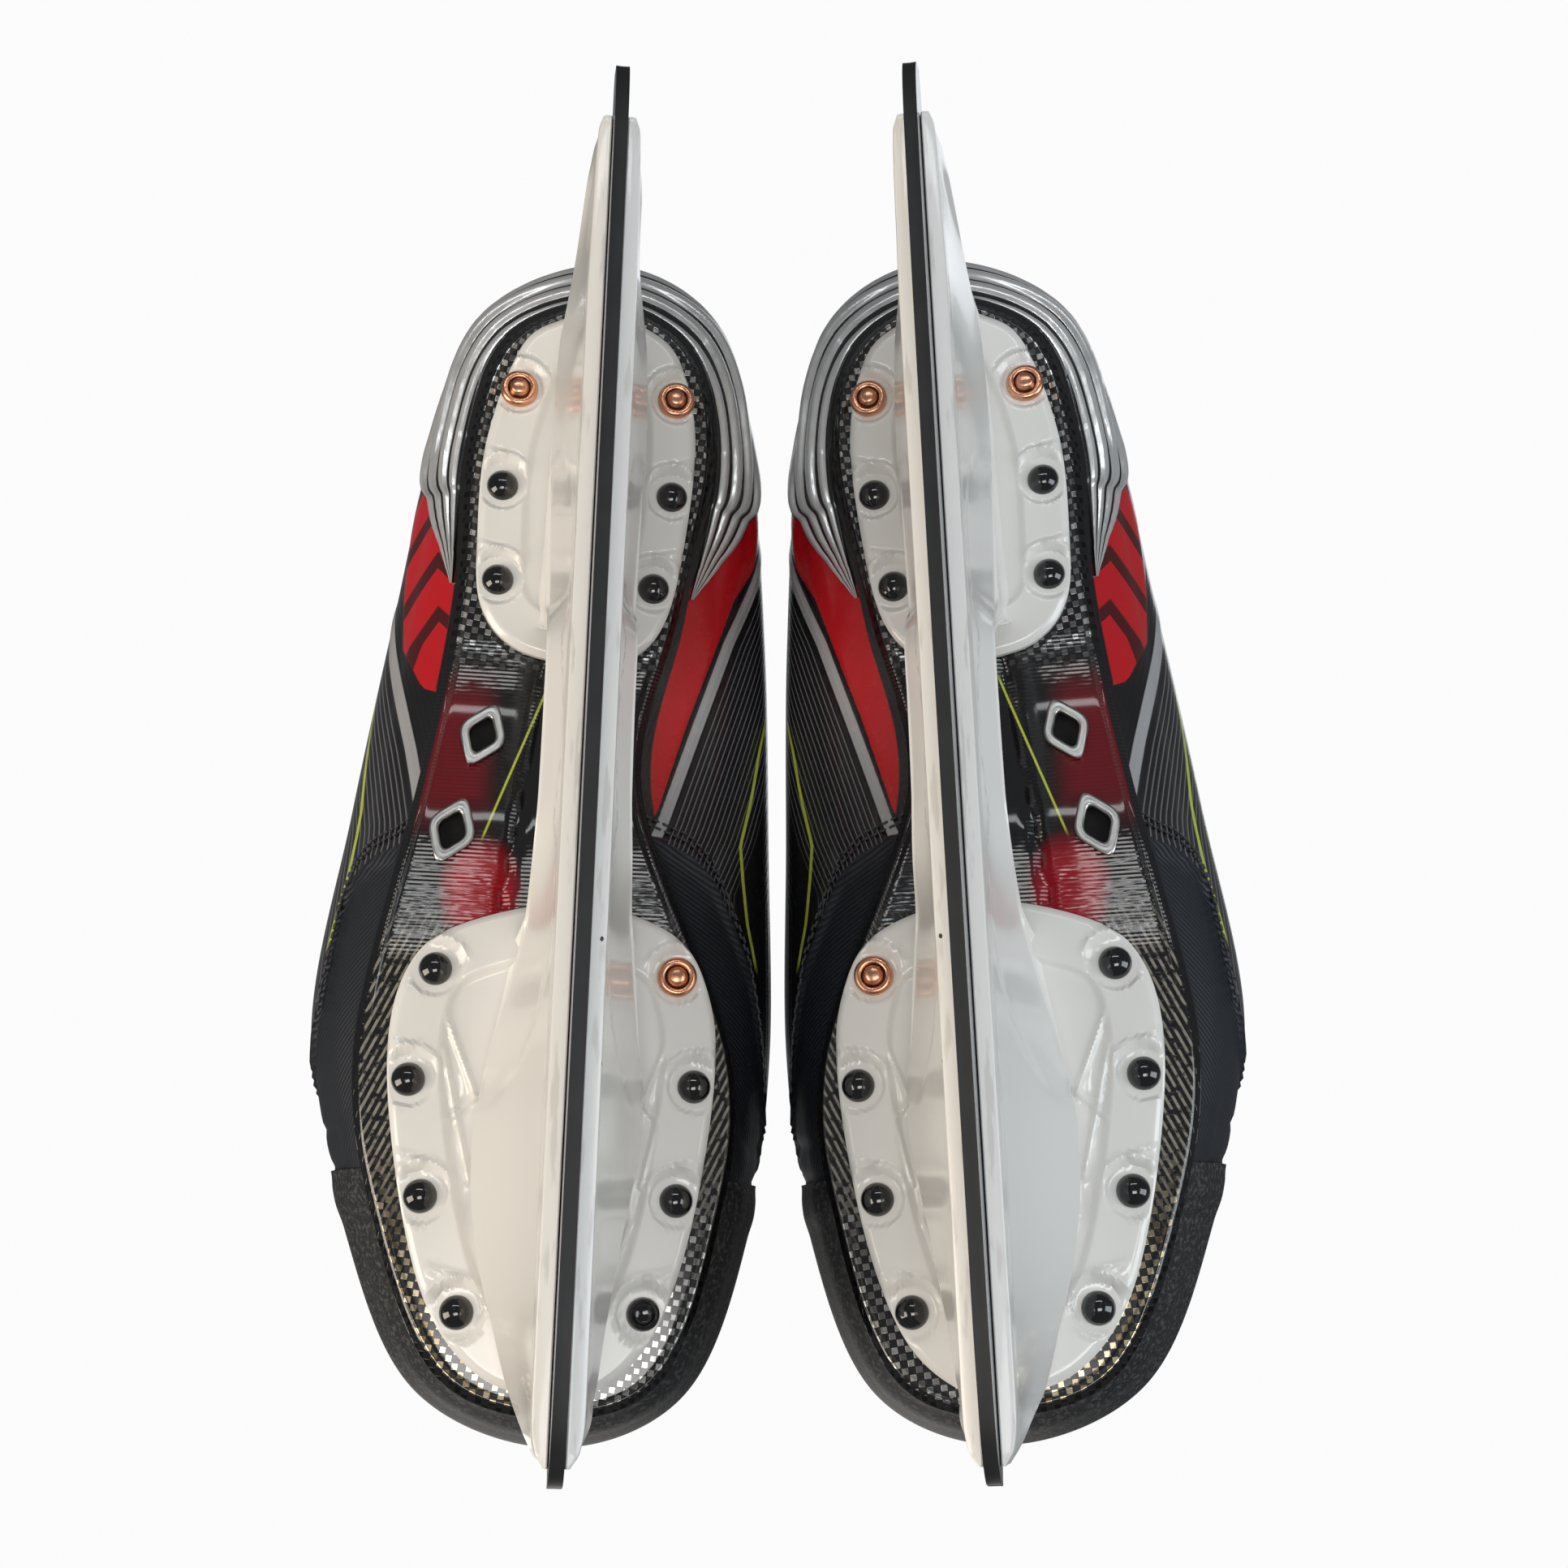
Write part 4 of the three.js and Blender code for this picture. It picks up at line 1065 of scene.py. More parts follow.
def round_corners(corners, cut=0.28, steps=5):
    """A polygon whose corners are rounded by short quadratic arcs."""
    corners = np.asarray(corners, float)
    made = []
    for before, here, after in zip(np.roll(corners, 1, 0), corners, np.roll(corners, -1, 0)):
        a, b = lerp(here, before, cut), lerp(here, after, cut)
        for t in np.linspace(0, 1, steps):
            made.append((1 - t) ** 2 * a + 2 * t * (1 - t) * here + t * t * b)
    return np.array(made)


# A grommet's rings as half width and height, from its neck over the flange and the lip and up the mouth.
VENT_RINGS = [
    (6.3, 2.4), (6.3, -0.2), (8.5, -0.4), (8.7, -0.8), (8.4, -1.2), (7.6, -1.35), (6.8, -1.15), (6.2, -1.3),
    (5.5, -1.2), (5.0, -0.8), (4.9, -0.4), (4.88, 0.2), (4.85, 1.2), (4.6, 1.6), (2.0, 1.7),
]
MOUTH_RINGS = 4  # the last rings are the mouth, painted near black as shade


def vent_mesh(x, y):
    """A grommet: rounded rhombic rings from its flange over a rolled lip and up the mouth to a disc that
    closes it; mouth and disc are painted near black as shade."""
    slope = float(sole_height(y + 5) - sole_height(y - 5)) / 10
    loops = []
    for half, up in VENT_RINGS:
        plan = round_corners(RHOMBUS * half)
        z = float(sole_height(y)) - GAP + up + plan[:, 1] * slope
        loops.append(np.column_stack([x + plan[:, 0], y + plan[:, 1], z]))
    verts, faces = tube_mesh(np.stack(loops, axis=1))
    # The mark is 1 on the mouth rings and the closing disc, where the vent's finish paints shade.
    marks = np.zeros((len(verts), 3))
    marks[:-2, 0] = np.tile(np.arange(len(VENT_RINGS)) >= len(VENT_RINGS) - MOUTH_RINGS, len(loops[0]))
    marks[-1, 0] = 1.0
    return (verts, faces), marks


# ---- boot pieces ----
def panel_marks(u, v, grid):
    """Where the printed panels lie: signed distances, in millimetres, from their edges. They are drawn in
    plan, and where the side turns back in above its widest line the distance runs on up the side."""
    y = grid[..., 1]
    outer = np.broadcast_to(np.mod(u, 1) < 0.5, y.shape)
    v = np.broadcast_to(v, y.shape)
    reach = np.abs(grid[..., 0])
    widest = np.maximum.accumulate(reach, axis=1)
    peak = np.take_along_axis(v, np.argmax(widest >= widest[:, -1:] - 0.4, axis=1)[:, None], axis=1)[:, 0]
    reach_round = 15
    spread = np.hanning(2 * reach_round + 1)
    around = np.concatenate([peak[-reach_round:], peak, peak[:reach_round]])
    peak = np.convolve(around, spread / spread.sum(), "valid")[:, None]
    side_height, bend = 85.0, 0.08
    out = widest + side_height * bend * np.log1p(np.exp((v - peak - 0.06) / bend))

    def line(for_outer, for_inner):
        return np.where(outer, np.interp(y, *for_outer), np.interp(y, *for_inner))

    red = line(([18, 23, 25, 36, 51, 65, 80], [28, 32, 37, 42.5, 44, 44.5, 45]),
               ([-8, -3, 21, 53, 63, 75], [15.5, 18, 25, 35.5, 41, 43])) - out
    strip = out - line(([-8, 2, 10, 21, 36, 52, 80], [35, 37, 38.8, 41.8, 46, 50, 58]),
                       ([-20, -6, 19, 42, 60, 90], [13.5, 19.3, 27.2, 34.6, 42, 52])) - 90 * ramp(y, 88, 118)
    leaf = out - line(([-40, -30, -19, -9, -3, 12], [57, 55, 52.3, 51, 50.5, 51]),
                      ([-50, -37, -26, -15, -7, 4, 18, 34], [47, 44, 41.3, 40, 39.3, 42, 44.6, 49]))
    outer_seam = np.interp(out, [36, 40, 46, 51, 54, 55.5, 60, 75], [-12, -14, -16, -20, -26, -35, -62, -110])
    inner_seam = np.interp(out, [15, 26, 32, 37, 42, 46, 50, 60], [-9, -12, -17, -27, -38, -56, -74, -110])
    seam = np.where(outer, outer_seam, inner_seam)
    return red, strip, leaf, (seam - y) * 0.7


def boot_shell_mesh():
    """The moulded upper: the boot's form and its inset, with the front panel sunk behind a rolled seam."""
    u = np.linspace(0, 1, 421)[:-1]
    v = np.linspace(0, 1, 96)
    U, V = np.meshgrid(u, v, indexing="ij")
    outer = boot_form(U, V)
    red, strip, leaf, front = panel_marks(U, V, outer)
    y = outer[..., 1]
    creases = sum(bump_at(y + 6 * np.sin(V * 5), centre, 2.4) for centre in (-72, -80, -88))
    crease = creases * bump_at(V, 0.34, 0.3)
    seam = bump_at(front, 0.4, 1.5)
    push = -0.7 * ramp(front, -0.3, 1.2) + 0.75 * seam - 0.7 * crease + 0.3 * bump_at(strip, 0, 1.6)
    push += 0.35 * ramp(red, -0.6, 0.3)
    push *= ramp(V, 0.0, 0.04) * (1 - ramp(V, 0.93, 0.99))
    inner = boot_form(U, V, WALL, 1.0)
    made = thick_mesh(pushed(outer, push, True), inner, True)
    first = np.dstack([V, np.where(np.mod(U, 1) < 0.5, 1.0, -1.0), front]).reshape(-1, 3)
    second = np.dstack([red, strip, leaf]).reshape(-1, 3)
    return made, np.tile(first, (2, 1)), np.tile(second, (2, 1))


def overlay_mesh(U, V, thickness, push):
    """A thin moulded cover that lies on the boot's form and tapers to it at its edges."""
    base = boot_form(U, V, 0.9)
    over = pushed(boot_form(U, V, -thickness), push)
    return thick_mesh(over, base)


TOE_CAP_END = -86.0


def toe_cap_mesh():
    """The toe cap: for each height v it spans between the two places where the form passes the cap's
    end."""
    v = np.linspace(0, 1, 60)
    reach = np.linspace(0.02, 0.26, 600)
    limits = []
    for side in (1, -1):
        y = boot_form((side * reach)[:, None], v[None, :], -GAP)[..., 1]
        past = np.argmax(y > TOE_CAP_END, axis=0)
        limits.append(side * np.where(y.max(0) > TOE_CAP_END, reach[past], 2 / STATIONS))
    s = np.linspace(-1, 1, 181)[:, None]
    U = np.where(s >= 0, s * limits[0], -s * limits[1])
    V = np.broadcast_to(v, U.shape)
    rim = np.minimum(1 - np.abs(s), 1) * 30
    push = -0.55 * (1 - ramp(rim, 0, 1.2)) + 0.35 * bump_at(rim, 2.2, 1.6) + 0.2 * bump_at(V, 0.16, 0.12)
    return overlay_mesh(U, V, 0.45, push)


def counter_mesh():
    """The heel counter: for each place round the heel it spans from the sole up to its sloping upper edge,
    with flutes that run together at its front tips."""
    u = np.linspace(5.12, 10.88, 300) / STATIONS
    fine = np.linspace(0, 0.9, 400)
    form = boot_form(u[:, None], fine[None, :], -GAP)
    y, z = form[..., 1], form[..., 2]
    top_z = np.interp(y, [44, 50, 61, 74, 84, 94, 100, 130], [73.7, 74.0, 78.0, 84.5, 94, 112, 126, 127])
    low = fine[np.argmax(z > 73.6, axis=1)]
    high = fine[np.maximum(np.argmax(z > top_z, axis=1), 1)]
    high = np.maximum(high, low + 0.004)
    t = np.linspace(0, 1, 70)
    U, T = np.meshgrid(u, t, indexing="ij")
    V = lerp(low[:, None], high[:, None], T)
    end = np.minimum(u - u[0], u[-1] - u) * STATIONS
    flute = np.cos(2 * math.pi * (4.5 * T**0.8 + 0.9 * smooth(end / 3.2)[:, None]))
    sharp = np.sign(flute) * np.abs(flute) ** 0.7
    depth = ramp(end, 0.05, 0.9)[:, None] * ramp(T, 0.02, 0.1) * (1 - ramp(T, 0.92, 1.0))
    edge = np.minimum(T, 1 - T)
    push = 0.75 * sharp * depth - 0.9 * (1 - ramp(edge, 0, 0.04))
    verts, faces = overlay_mesh(U, V, 1.3, push)
    marks = np.dstack([T, np.where(edge < 0.035, -1.0, flute), U]).reshape(-1, 3)
    return (verts, faces), np.tile(marks, (2, 1))


def liner_mesh():
    """The lining: a padded sheet inside the shell, quilted round the ankle and rolled over at its top
    edge."""
    u = np.linspace(THROAT, 1 - THROAT, 260)
    v = np.concatenate([np.linspace(0, 0.9, 44), np.linspace(0.9, 1, 22)[1:]])
    U, V = np.meshgrid(u, v, indexing="ij")
    turn = np.clip((V - 0.965) / 0.035, 0, 1)
    rounding = 1 - np.sqrt(np.clip(1 - turn**2, 0, 1))
    outer = boot_form(U, V, WALL + GAP, 1.6)
    inner = boot_form(U, V, WALL + GAP + LINING, 4.6)
    middle = (outer + inner) / 2
    outer = lerp(outer, middle, rounding[..., None] * 0.98)
    inner = lerp(inner, middle, rounding[..., None] * 0.98)
    y, z = inner[..., 1], inner[..., 2]
    quilt = np.abs(np.sin((z + y * 0.5) / 6.2)) ** 0.6 * ramp(y, 25, 50) * ramp(z, 110, 125) * (1 - rounding)
    inward = inner - outer
    inward /= np.maximum(np.linalg.norm(inward, axis=2, keepdims=True), 1e-6)
    inner = inner + inward * (1.1 * quilt)[..., None]
    return thick_mesh(outer, inner)


def footbed_mesh():
    """The insole: a dished plate inside the lining."""
    u = np.linspace(0, 1, 121)[:-1]
    outline = sole_outline(u, WALL + GAP + LINING + 1.2)
    centre = np.array([4.0, -5.0])
    under = ((0.35, 0.1), (0.7, 0.1), (0.98, 0.1), (1.0, 0.5))
    over = ((1.0, 3.3), (0.98, 3.9), (0.9, 3.4), (0.7, 2.6), (0.35, 2.2))
    lining_top = SOLE + 5.6
    layers = []
    for share, up in under + over:
        plan = centre + (outline[:, :2] - centre) * share
        layers.append(np.column_stack([plan, sole_height(plan[:, 1]) + lining_top + up]))
    return tube_mesh(np.stack(layers, axis=1))


def edge_at(station):
    """A point of the boot's top edge, at a station counted from the toe."""
    return closed_curve(BOOT_LOOPS[TOP_LEVEL], np.asarray(station, float) / STATIONS)


def tongue_mesh():
    """The tongue: ruled across the throat a little below its edges, thick and softly ribbed."""
    station = np.linspace(2.25, 4.98, 120)[:, None]
    side = np.sin(np.linspace(-1, 1, 41) * math.pi / 2)[None, :]
    outer, inner = edge_at(station[:, 0]), edge_at(STATIONS - station[:, 0])
    half = np.maximum((outer[:, 0] - inner[:, 0]) / 2 - 8.1, 0.8)[:, None]
    middle = ((outer + inner) / 2)[:, None, :]
    layers = []
    for sign in (1, -1):
        arch = np.sqrt(np.clip(1 - side**2, 0, 1))
        rise = (0.85 if sign > 0 else -1.5) * arch - 0.25
        quilt = 0.35 * np.cos(station * 26) * (1 - side**2) if sign > 0 else 0.0
        x = middle[..., 0] + side * half
        y = middle[..., 1] - rise * 1.5
        z = middle[..., 2] + rise * 3.0 - 3.0 + quilt
        layers.append(np.dstack(np.broadcast_arrays(x, y, z)))
    return thick_mesh(*layers)


def standing_panel(centre_y, foot_z, height, lean, half_foot, half_top, bow, thick, relief):
    """A curved panel on its edge: its plan is an arc, its edges are rounded and its corners drawn in."""
    foot, body, top = np.linspace(0, 0.06, 8), np.linspace(0.06, 0.85, 44)[1:], np.linspace(0.85, 1, 26)[1:]
    v = np.concatenate([foot, body, top])[:, None]
    side = np.sin(np.linspace(-1, 1, 61) * math.pi / 2)[None, :]
    corner = np.sqrt(np.clip(1 - np.clip((v - 0.8) / 0.2, 0, 1) ** 2.6, 0, 1))
    half = lerp(half_foot, half_top, v) * np.maximum(corner, 0.02)
    rounding = np.sqrt(np.clip(1 - side**6, 0, 1)) * np.sqrt(1 - np.clip((v - 0.94) / 0.06, 0, 1) ** 2)
    layers = []
    for sign in (-1, 1):
        spread = relief(side, v) * (1 if sign < 0 else 0.3)
        x = side * half
        middle = centre_y + lean * v * height + bow * (x / half_top) ** 2 + thick / 2
        y = middle + sign * (thick / 2) * rounding * spread
        layers.append(np.dstack(np.broadcast_arrays(x, y, foot_z + height * v)))
    return thick_mesh(*layers)


def ribbon(path, width, thick, facing):
    """A flat lace along a path: an oval section whose broad side faces the given directions."""
    path = np.asarray(path, float)
    along = unit(np.gradient(path, axis=0))
    up = unit(facing - along * np.einsum("ij,ij->i", facing, along)[:, None])
    across = np.cross(along, up)
    turn = np.linspace(0, math.tau, 15)[:-1, None, None]
    wide = width / 2 * np.sign(np.cos(turn)) * np.abs(np.cos(turn)) ** 0.6
    return tube_mesh(path + across * wide + up * (thick / 2 * np.sin(turn)))


LACE_ROWS = 9
LACE_STATIONS = np.linspace(3.15, 4.68, LACE_ROWS)


def beside_throat(station, out):
    """A point on the shell, out millimetres down from the throat's edge."""
    edge = edge_at(station)
    low = closed_curve(BOOT_LOOPS[TOP_LEVEL - 1], np.array(station / STATIONS))
    return lerp(edge, low, out / np.linalg.norm(edge - low, axis=-1))


def lace_mesh():
    """Criss-cross passes, each from an eyelet over the throat's edge and across the tongue to the next
    eyelet."""
    meshes = []
    for row in range(LACE_ROWS - 1):
        meshes += [pass_mesh(row, row + 1, 0), pass_mesh(row + 1, row, 1)]
    meshes.append(pass_mesh(0, 0, 0))
    return joined(*meshes)


def pass_mesh(start, end, over):
    """One pass of the lace between two rows: up over one edge, across the tongue and down over the
    other."""
    a, b = LACE_STATIONS[start], STATIONS - LACE_STATIONS[end]
    climb = ((7.2, 0.2), (3.6, 1.9), (0.4, 3.4))
    points = []
    for station, out, lift in [(a, *step) for step in climb] + [(b, *step) for step in climb[::-1]]:
        points.append(beside_throat(station, out) + np.array([0.0, -lift * 0.55, lift * 0.85]))
    middle = (points[2] + points[3]) / 2 + np.array([0, -0.8, 1.2 + over * 1.3])
    points.insert(3, middle)
    path = even(open_curve(np.array(points), np.linspace(0, 1, 120)), 44)
    facing = np.tile(np.array([0.0, -0.45, 0.9]), (len(path), 1))
    facing[:, 0] = np.linspace(0.75, -0.75, len(path)) * np.abs(np.linspace(-1, 1, len(path)))
    return ribbon(path, 3.4, 1.1, facing)


def ring_mesh(grid):
    """A grid that closes both ways, as a ring does."""
    rows, cols = grid.shape[:2]
    here = np.arange(rows * cols).reshape(rows, cols)
    across, down = np.roll(here, -1, 1), np.roll(here, -1, 0)
    quads = np.stack([here, across, np.roll(across, -1, 0), down], -1)
    return grid.reshape(-1, 3), [quads.reshape(-1, 4)]


EYELET_PROFILE = np.array([  # radius and height above the shell
    (1.3, -0.8), (1.3, 0.5), (1.6, 0.95), (2.4, 1.0), (2.9, 0.6), (3.0, 0.1), (2.2, -0.4), (1.7, -0.8),
])
EYELET_DROP = 8.2  # from the throat's edge


def eyelets_mesh():
    """Turned rings set in the shell beside the throat."""
    radius, height = EYELET_PROFILE[None, :, :1], EYELET_PROFILE[None, :, 1:]
    turn = np.linspace(0, math.tau, 25)[:-1, None, None]
    meshes = []
    for base in LACE_STATIONS:
        for station in (base, STATIONS - base):
            here = beside_throat(station, EYELET_DROP)
            down = unit(beside_throat(station, EYELET_DROP + 1.0) - here)
            ahead = beside_throat(station + 0.05, EYELET_DROP) - here
            out = unit(np.cross(ahead, down))
            if out[0] * (1 if station < STATIONS / 2 else -1) < 0:
                out = -out
            beside = np.cross(out, down)
            around = np.cos(turn) * down + np.sin(turn) * beside
            meshes.append(ring_mesh(here + around * radius + out * height))
    return joined(*meshes)


def rolled_edge(stations, drop, radius, count=220):
    """A round piping along the throat and the collar."""
    path = edge_at(np.linspace(*stations, count * 3))
    path[:, 2] -= drop
    path = even(path, count)
    along = unit(np.gradient(path, axis=0))
    one = unit(np.cross(along, [0.0, 0.0, 1.0]))
    two = np.cross(one, along)
    turn = np.linspace(0, math.tau, 13)[:-1, None, None]
    return tube_mesh(path + radius * (np.cos(turn) * one + np.sin(turn) * two))


SHORTEST_ROW = 20  # the fewest points that a row of stitches is made along


def stitches_mesh():
    """Two rows of short thread stitches beside the front panel's seam, laid on the shell."""
    meshes = []
    v = np.linspace(0.0, 0.34, 400)
    for side in (1, -1):
        u = np.linspace(2.6, 4.4, 500)[:, None] / STATIONS * side
        grid = boot_form(u, v[None, :])
        front = panel_marks(np.broadcast_to(u, grid.shape[:2]), v, grid)[3]
        centre = grid.reshape(-1, 3).mean(0)
        for off in (-1.9, -3.1):
            hit = np.argmax(front < off, axis=0)
            good = (hit > 0) & (hit < len(u) - 1)
            line = pushed(grid, np.full(grid.shape[:2], 0.42))[hit[good], np.nonzero(good)[0]]
            if len(line) < SHORTEST_ROW:
                continue
            line = even(line, 200)
            for k in range(0, 190, 7):
                part = line[k : k + 5]
                meshes.append(ribbon(part, 0.7, 0.5, np.tile(part.mean(0) - centre, (len(part), 1))))
    return joined(*meshes)


# ---- building the pair ----
def tinted(made, marks):
    """Adds the panels' distances to a piece."""
    extra = made.data.attributes.new("band", "FLOAT_VECTOR", "POINT")
    extra.data.foreach_set("vector", np.asarray(marks, np.float32).ravel())


def padding(side, v):
    """The flap's padded face: two shallow channels and a soft border."""
    return 0.86 + 0.14 * np.cos(side * 9.0) * ramp(v, 0.05, 0.2)


def guard_relief(side, v):
    """The guard's moulded face: cross ribs that fade towards its edges."""
    wave = np.sin(v * 38.0)
    return 0.85 + 0.15 * np.sign(wave) * np.abs(wave) ** 0.4 * (1 - np.abs(side) ** 3)


SHARED = {
    "runner": runner_mesh(), "tower": tower_mesh(),
    "front": plate_mesh(FRONT_PLAN, FRONT_DECK, (1.0, -78.0), FRONT_RIVETS, 11.5),
    "heel": plate_mesh(HEEL_PLAN, HEEL_DECK, (0.5, 74.0), HEEL_RIVETS, 10.5),
    "outsole": outsole_mesh(), "shell": boot_shell_mesh(),
    "toe_cap": toe_cap_mesh(), "counter": counter_mesh(),
    "liner": liner_mesh(), "footbed": footbed_mesh(), "tongue": tongue_mesh(), "lace": lace_mesh(),
    "eyelets": eyelets_mesh(), "stitches": stitches_mesh(),
    "flap": standing_panel(25.9, 205.9, 57.5, -0.12, 20, 26.5, 9, 7, padding),
    "guard": standing_panel(116.0, 209.3, 55.5, 0.16, 27, 20, -13, 5, guard_relief),
    "binding": rolled_edge((THROAT * STATIONS, (1 - THROAT) * STATIONS), 0.4, 1.5),
}


def build_skate(side):
    """Every piece of one skate, riding its bodies and standing for its CAD nodes."""
    body = side + "_skate"

    def add(name, mesh, look, nodes=(), on=body, crisp=40, marks=None):
        nodes = [f"{side}_{n}" for n in nodes]
        return piece(f"{side}_{name}", mesh, side, on, LOOKS[look], nodes, crisp, marks)

    mesh, marks = SHARED["runner"]
    add("steel_runner", mesh, "steel", ["runner"], side + "_runner", 35, marks)

    mesh = joined(SHARED["tower"], SHARED["front"], SHARED["heel"])
    holder = add("blade_holder", mesh, "holder", ["holder"], crisp=28)
    recess = prism([(21, 29), (51, 29), (76, 36), (76, 55), (61, 59.5), (21, 59.5)], -3.4, 3.4)
    subtract(holder, [cutter(side + "_recess_tool", recess, side)])
    retag(holder, side)

    fronts, heels = ("front_rivet_", FRONT_DECK, FRONT_RIVETS), ("heel_rivet_", HEEL_DECK, HEEL_RIVETS)
    for prefix, deck, rivets in (fronts, heels):
        for name, x, y, copper in rivets:
            hollow = prefix == "front_rivet_" and name == "inner_4" and side == "left"
            mesh, marks = dome_mesh(x, y, deck + SEAT, rivet_profile(copper, hollow))
            slot, look = ("copper_rivet", "copper") if copper else ("black_rivet", "rivet")
            add(prefix + name + "_dome", mesh, look, [prefix + name], crisp=50, marks=marks)

    mesh, marks = SHARED["outsole"]
    sole = add("sole_plate", mesh, "carbon", ["outsole"], crisp=50, marks=marks)
    hole = round_corners(RHOMBUS * 6.0)
    holes = [prism(list(map(tuple, hole + (x, y))), 50, 90, False) for _, x, y in VENTS]
    subtract(sole, [cutter(f"{side}_vent_tool_{k}", hole, side) for k, hole in enumerate(holes)])
    retag(sole, side, sole_marks)
    for name, x, y in VENTS:
        mesh, marks = vent_mesh(x, y)
        add(name + "_grommet", mesh, "vent", [name], crisp=50, marks=marks)

    mesh, marks, bands = SHARED["shell"]
    tinted(add("quarter", mesh, "quarter", ["boot_shell"], crisp=60, marks=marks), bands)
    add("toe_cap_cover", SHARED["toe_cap"], "toe_cap", ["toe_cap"], crisp=60)
    mesh, marks = SHARED["counter"]
    add("fluted_counter", mesh, "counter", ["heel_counter"], crisp=60, marks=marks)
    add("padded_lining", SHARED["liner"], "lining", ["liner"], crisp=70)
    add("insole", SHARED["footbed"], "footbed", ["footbed"], crisp=50)
    add("felt_tongue", SHARED["tongue"], "felt", ["tongue"], crisp=0)
    moving = side + "_tongue_flap"
    flap = add("felt_tongue_flap", SHARED["flap"], "felt", ["tongue_flap"], moving, 0)
    add("moulded_guard", SHARED["guard"], "guard", ["tendon_guard"], side + "_tendon_guard", 50)
    add("waxed_lace", SHARED["lace"], "lace", ["lace"], crisp=0)
    mesh = SHARED["eyelets"]
    add("lace_eyelets", mesh, "vent", crisp=50, marks=np.zeros((len(mesh[0]), 3)))
    add("collar_binding", SHARED["binding"], "binding", crisp=0)
    add("seam_stitches", SHARED["stitches"], "stitch", crisp=0)

    for node, look, slot in (("trigger", "trigger", "trigger_plastic"), ("trigger_pin", "pin", "steel")):
        kept = frame["nodes"][f"{side}_{node}"]
        kept.data.materials.clear()
        kept.data.materials.append(LOOKS[look])


for skate_side in SIDES:
    build_skate(skate_side)


# ---- the stage ----
def area_light(name, place, target, size, power, color):
    """A soft rectangular light at place, turned to target."""
    data = bpy.data.lights.new(name, "AREA")
    data.shape, data.size, data.size_y, data.energy, data.color = "RECTANGLE", size[0], size[1], power, color
    lamp = bpy.data.objects.new(name, data)
    bpy.context.scene.collection.objects.link(lamp)
    lamp.location = place
    lamp.rotation_euler = (Vector(target) - Vector(place)).to_track_quat("-Z", "Y").to_euler()
    lamp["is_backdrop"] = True


def floor_material():
    """Pale from above and clear from below, so that the soles can be seen through it."""
    material = bpy.data.materials.new("pale_floor")
    material.use_nodes = True
    nodes, links = material.node_tree.nodes, material.node_tree.links
    shader = next(n for n in nodes if n.type == "BSDF_PRINCIPLED")
    shader.inputs["Base Color"].default_value = (0.9, 0.9, 0.9, 1)
    shader.inputs["Roughness"].default_value = 0.8
    clear = nodes.new("ShaderNodeBsdfTransparent")
    mixer = nodes.new("ShaderNodeMixShader")
    facing = nodes.new("ShaderNodeNewGeometry")
    out = next(n for n in nodes if n.type == "OUTPUT_MATERIAL")
    links.new(facing.outputs["Backfacing"], mixer.inputs[0])
    links.new(shader.outputs[0], mixer.inputs[1])
    links.new(clear.outputs[0], mixer.inputs[2])
    links.new(mixer.outputs[0], out.inputs[0])
    return material


ground = bpy.data.meshes.new("floor")
FLOOR_HALF, FLOOR_Z = 3.9, -0.0005
floor_corners = [(x * FLOOR_HALF, y * FLOOR_HALF, FLOOR_Z) for x, y in ((-1, -1), (1, -1), (1, 1), (-1, 1))]
ground.from_pydata(floor_corners, [], [(0, 1, 2, 3)])
floor = bpy.data.objects.new("floor", ground)
floor.data.materials.append(floor_material())
bpy.context.scene.collection.objects.link(floor)
floor.visible_shadow = floor.visible_diffuse = floor.visible_glossy = False
floor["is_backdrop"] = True


def shell_material():
    """A dim, cool glow."""
    material = bpy.data.materials.new("studio_shell")
    material.use_nodes = True
    nodes, links = material.node_tree.nodes, material.node_tree.links
    glow = nodes.new("ShaderNodeEmission")
    glow.inputs[0].default_value = (0.96, 0.98, 1.0, 1)
    glow.inputs[1].default_value = 0.16
    links.new(glow.outputs[0], next(n for n in nodes if n.type == "OUTPUT_MATERIAL").inputs[0])
    return material


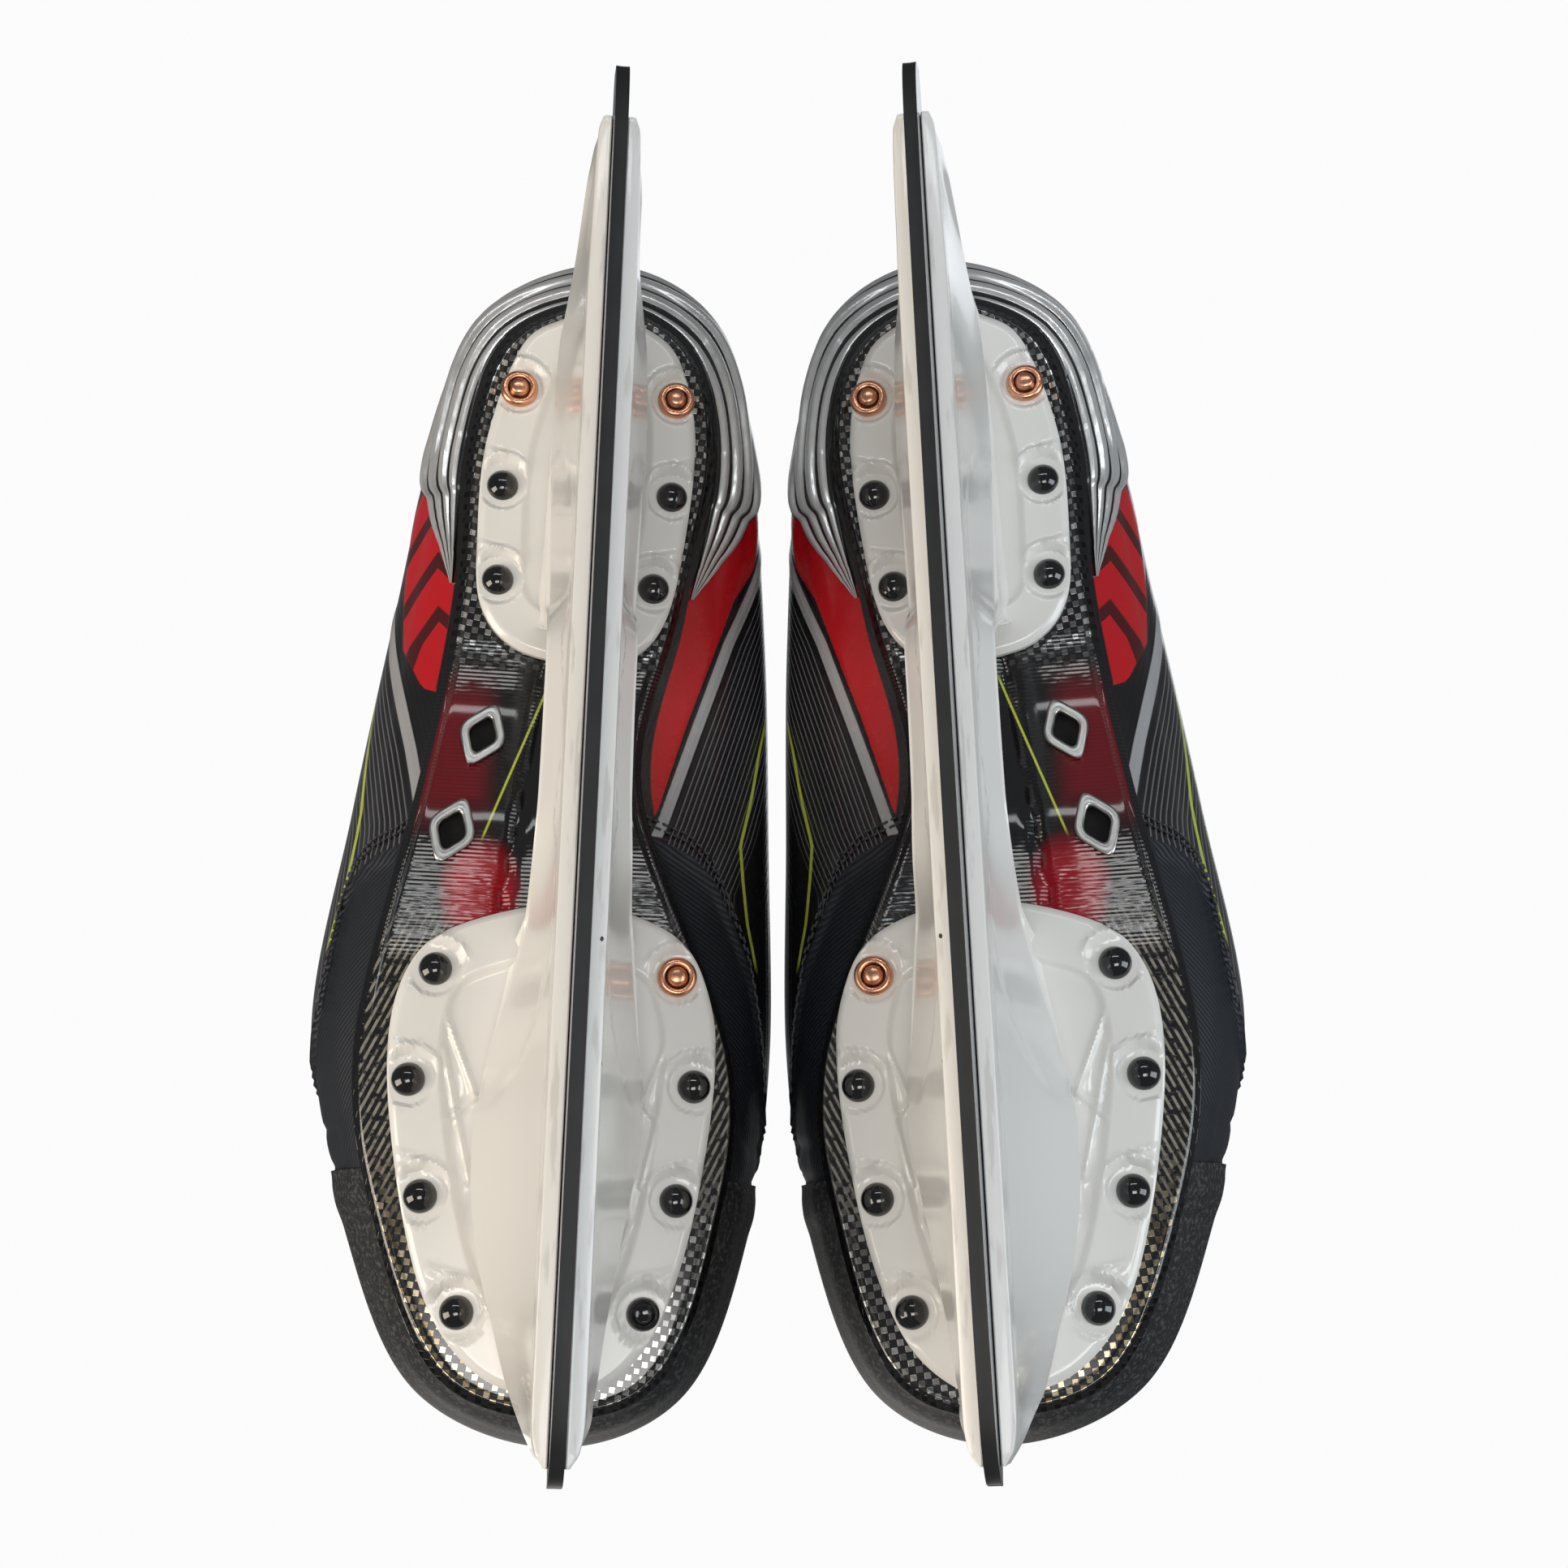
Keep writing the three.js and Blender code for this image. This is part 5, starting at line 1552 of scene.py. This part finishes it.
# A dim room round the skates: it keeps the white backdrop from washing out their black lacquer.
ROOM_HALF = 4.0
corners = [(x * ROOM_HALF, y * ROOM_HALF, z * ROOM_HALF) for x in (-1, 1) for y in (-1, 1) for z in (-1, 1)]
room = bpy.data.meshes.new("room")
walls = [(0, 1, 3, 2), (4, 6, 7, 5), (0, 4, 5, 1), (2, 3, 7, 6), (0, 2, 6, 4), (1, 5, 7, 3)]
room.from_pydata(corners, [], walls)
room.materials.append(shell_material())
room_object = bpy.data.objects.new("room", room)
bpy.context.scene.collection.objects.link(room_object)
room_object.visible_camera = False
room_object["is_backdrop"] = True

world = bpy.data.worlds.new("studio")
world.use_nodes = True
world.node_tree.nodes["Background"].inputs[0].default_value = (1.0, 1.0, 1.0, 1)
world.node_tree.nodes["Background"].inputs[1].default_value = 0.97
bpy.context.scene.world = world
bpy.context.scene.view_settings.view_transform = "Standard"

area_light("warm_side", (0.9, -0.35, -0.55), (0.03, 0, 0.05), (0.5, 0.9), 9.5, (1.0, 0.88, 0.74))
area_light("cool_side", (-0.9, -0.2, -0.6), (-0.03, 0, 0.05), (0.5, 0.9), 6.0, (0.86, 0.94, 1.0))
area_light("window", (-0.05, -0.3, -1.2), (0, 0, 0.05), (0.5, 0.3), 3.4, (1.0, 0.98, 0.95))
area_light("over_left", (0.5, -1.2, 1.9), (0, 0, 0.1), (1.6, 1.6), 13.0, (1.0, 0.96, 0.9))
area_light("over_right", (-0.5, 1.2, 1.9), (0, 0, 0.1), (1.6, 1.6), 9.0, (0.92, 0.96, 1.0))
area_light("arch_glint", (0.0, 0.62, -0.9), (0, 0, 0.06), (0.7, 0.05), 1.3, (0.94, 0.98, 1.0))

# ---- the camera ----
LENS_SHARE = 1.481884  # focal length over the width of the frame
camera_data = bpy.data.cameras.new("camera")
camera_data.sensor_width, camera_data.lens = 36.0, 36.0 * LENS_SHARE
camera_data.clip_start, camera_data.clip_end = 0.01, 20
camera = bpy.data.objects.new("camera", camera_data)
right = Vector((-0.99989, -0.00673, 0.01311))
up = Vector((-0.00943, 0.97582, -0.21836))
back = right.cross(up)
turn = Matrix((right, up, back)).transposed().to_4x4()
camera.matrix_world = Matrix.Translation(Vector((-8.155, -113.35, -449.72)) * MM) @ turn
bpy.context.scene.collection.objects.link(camera)
bpy.context.scene.camera = camera

write_size("visual")
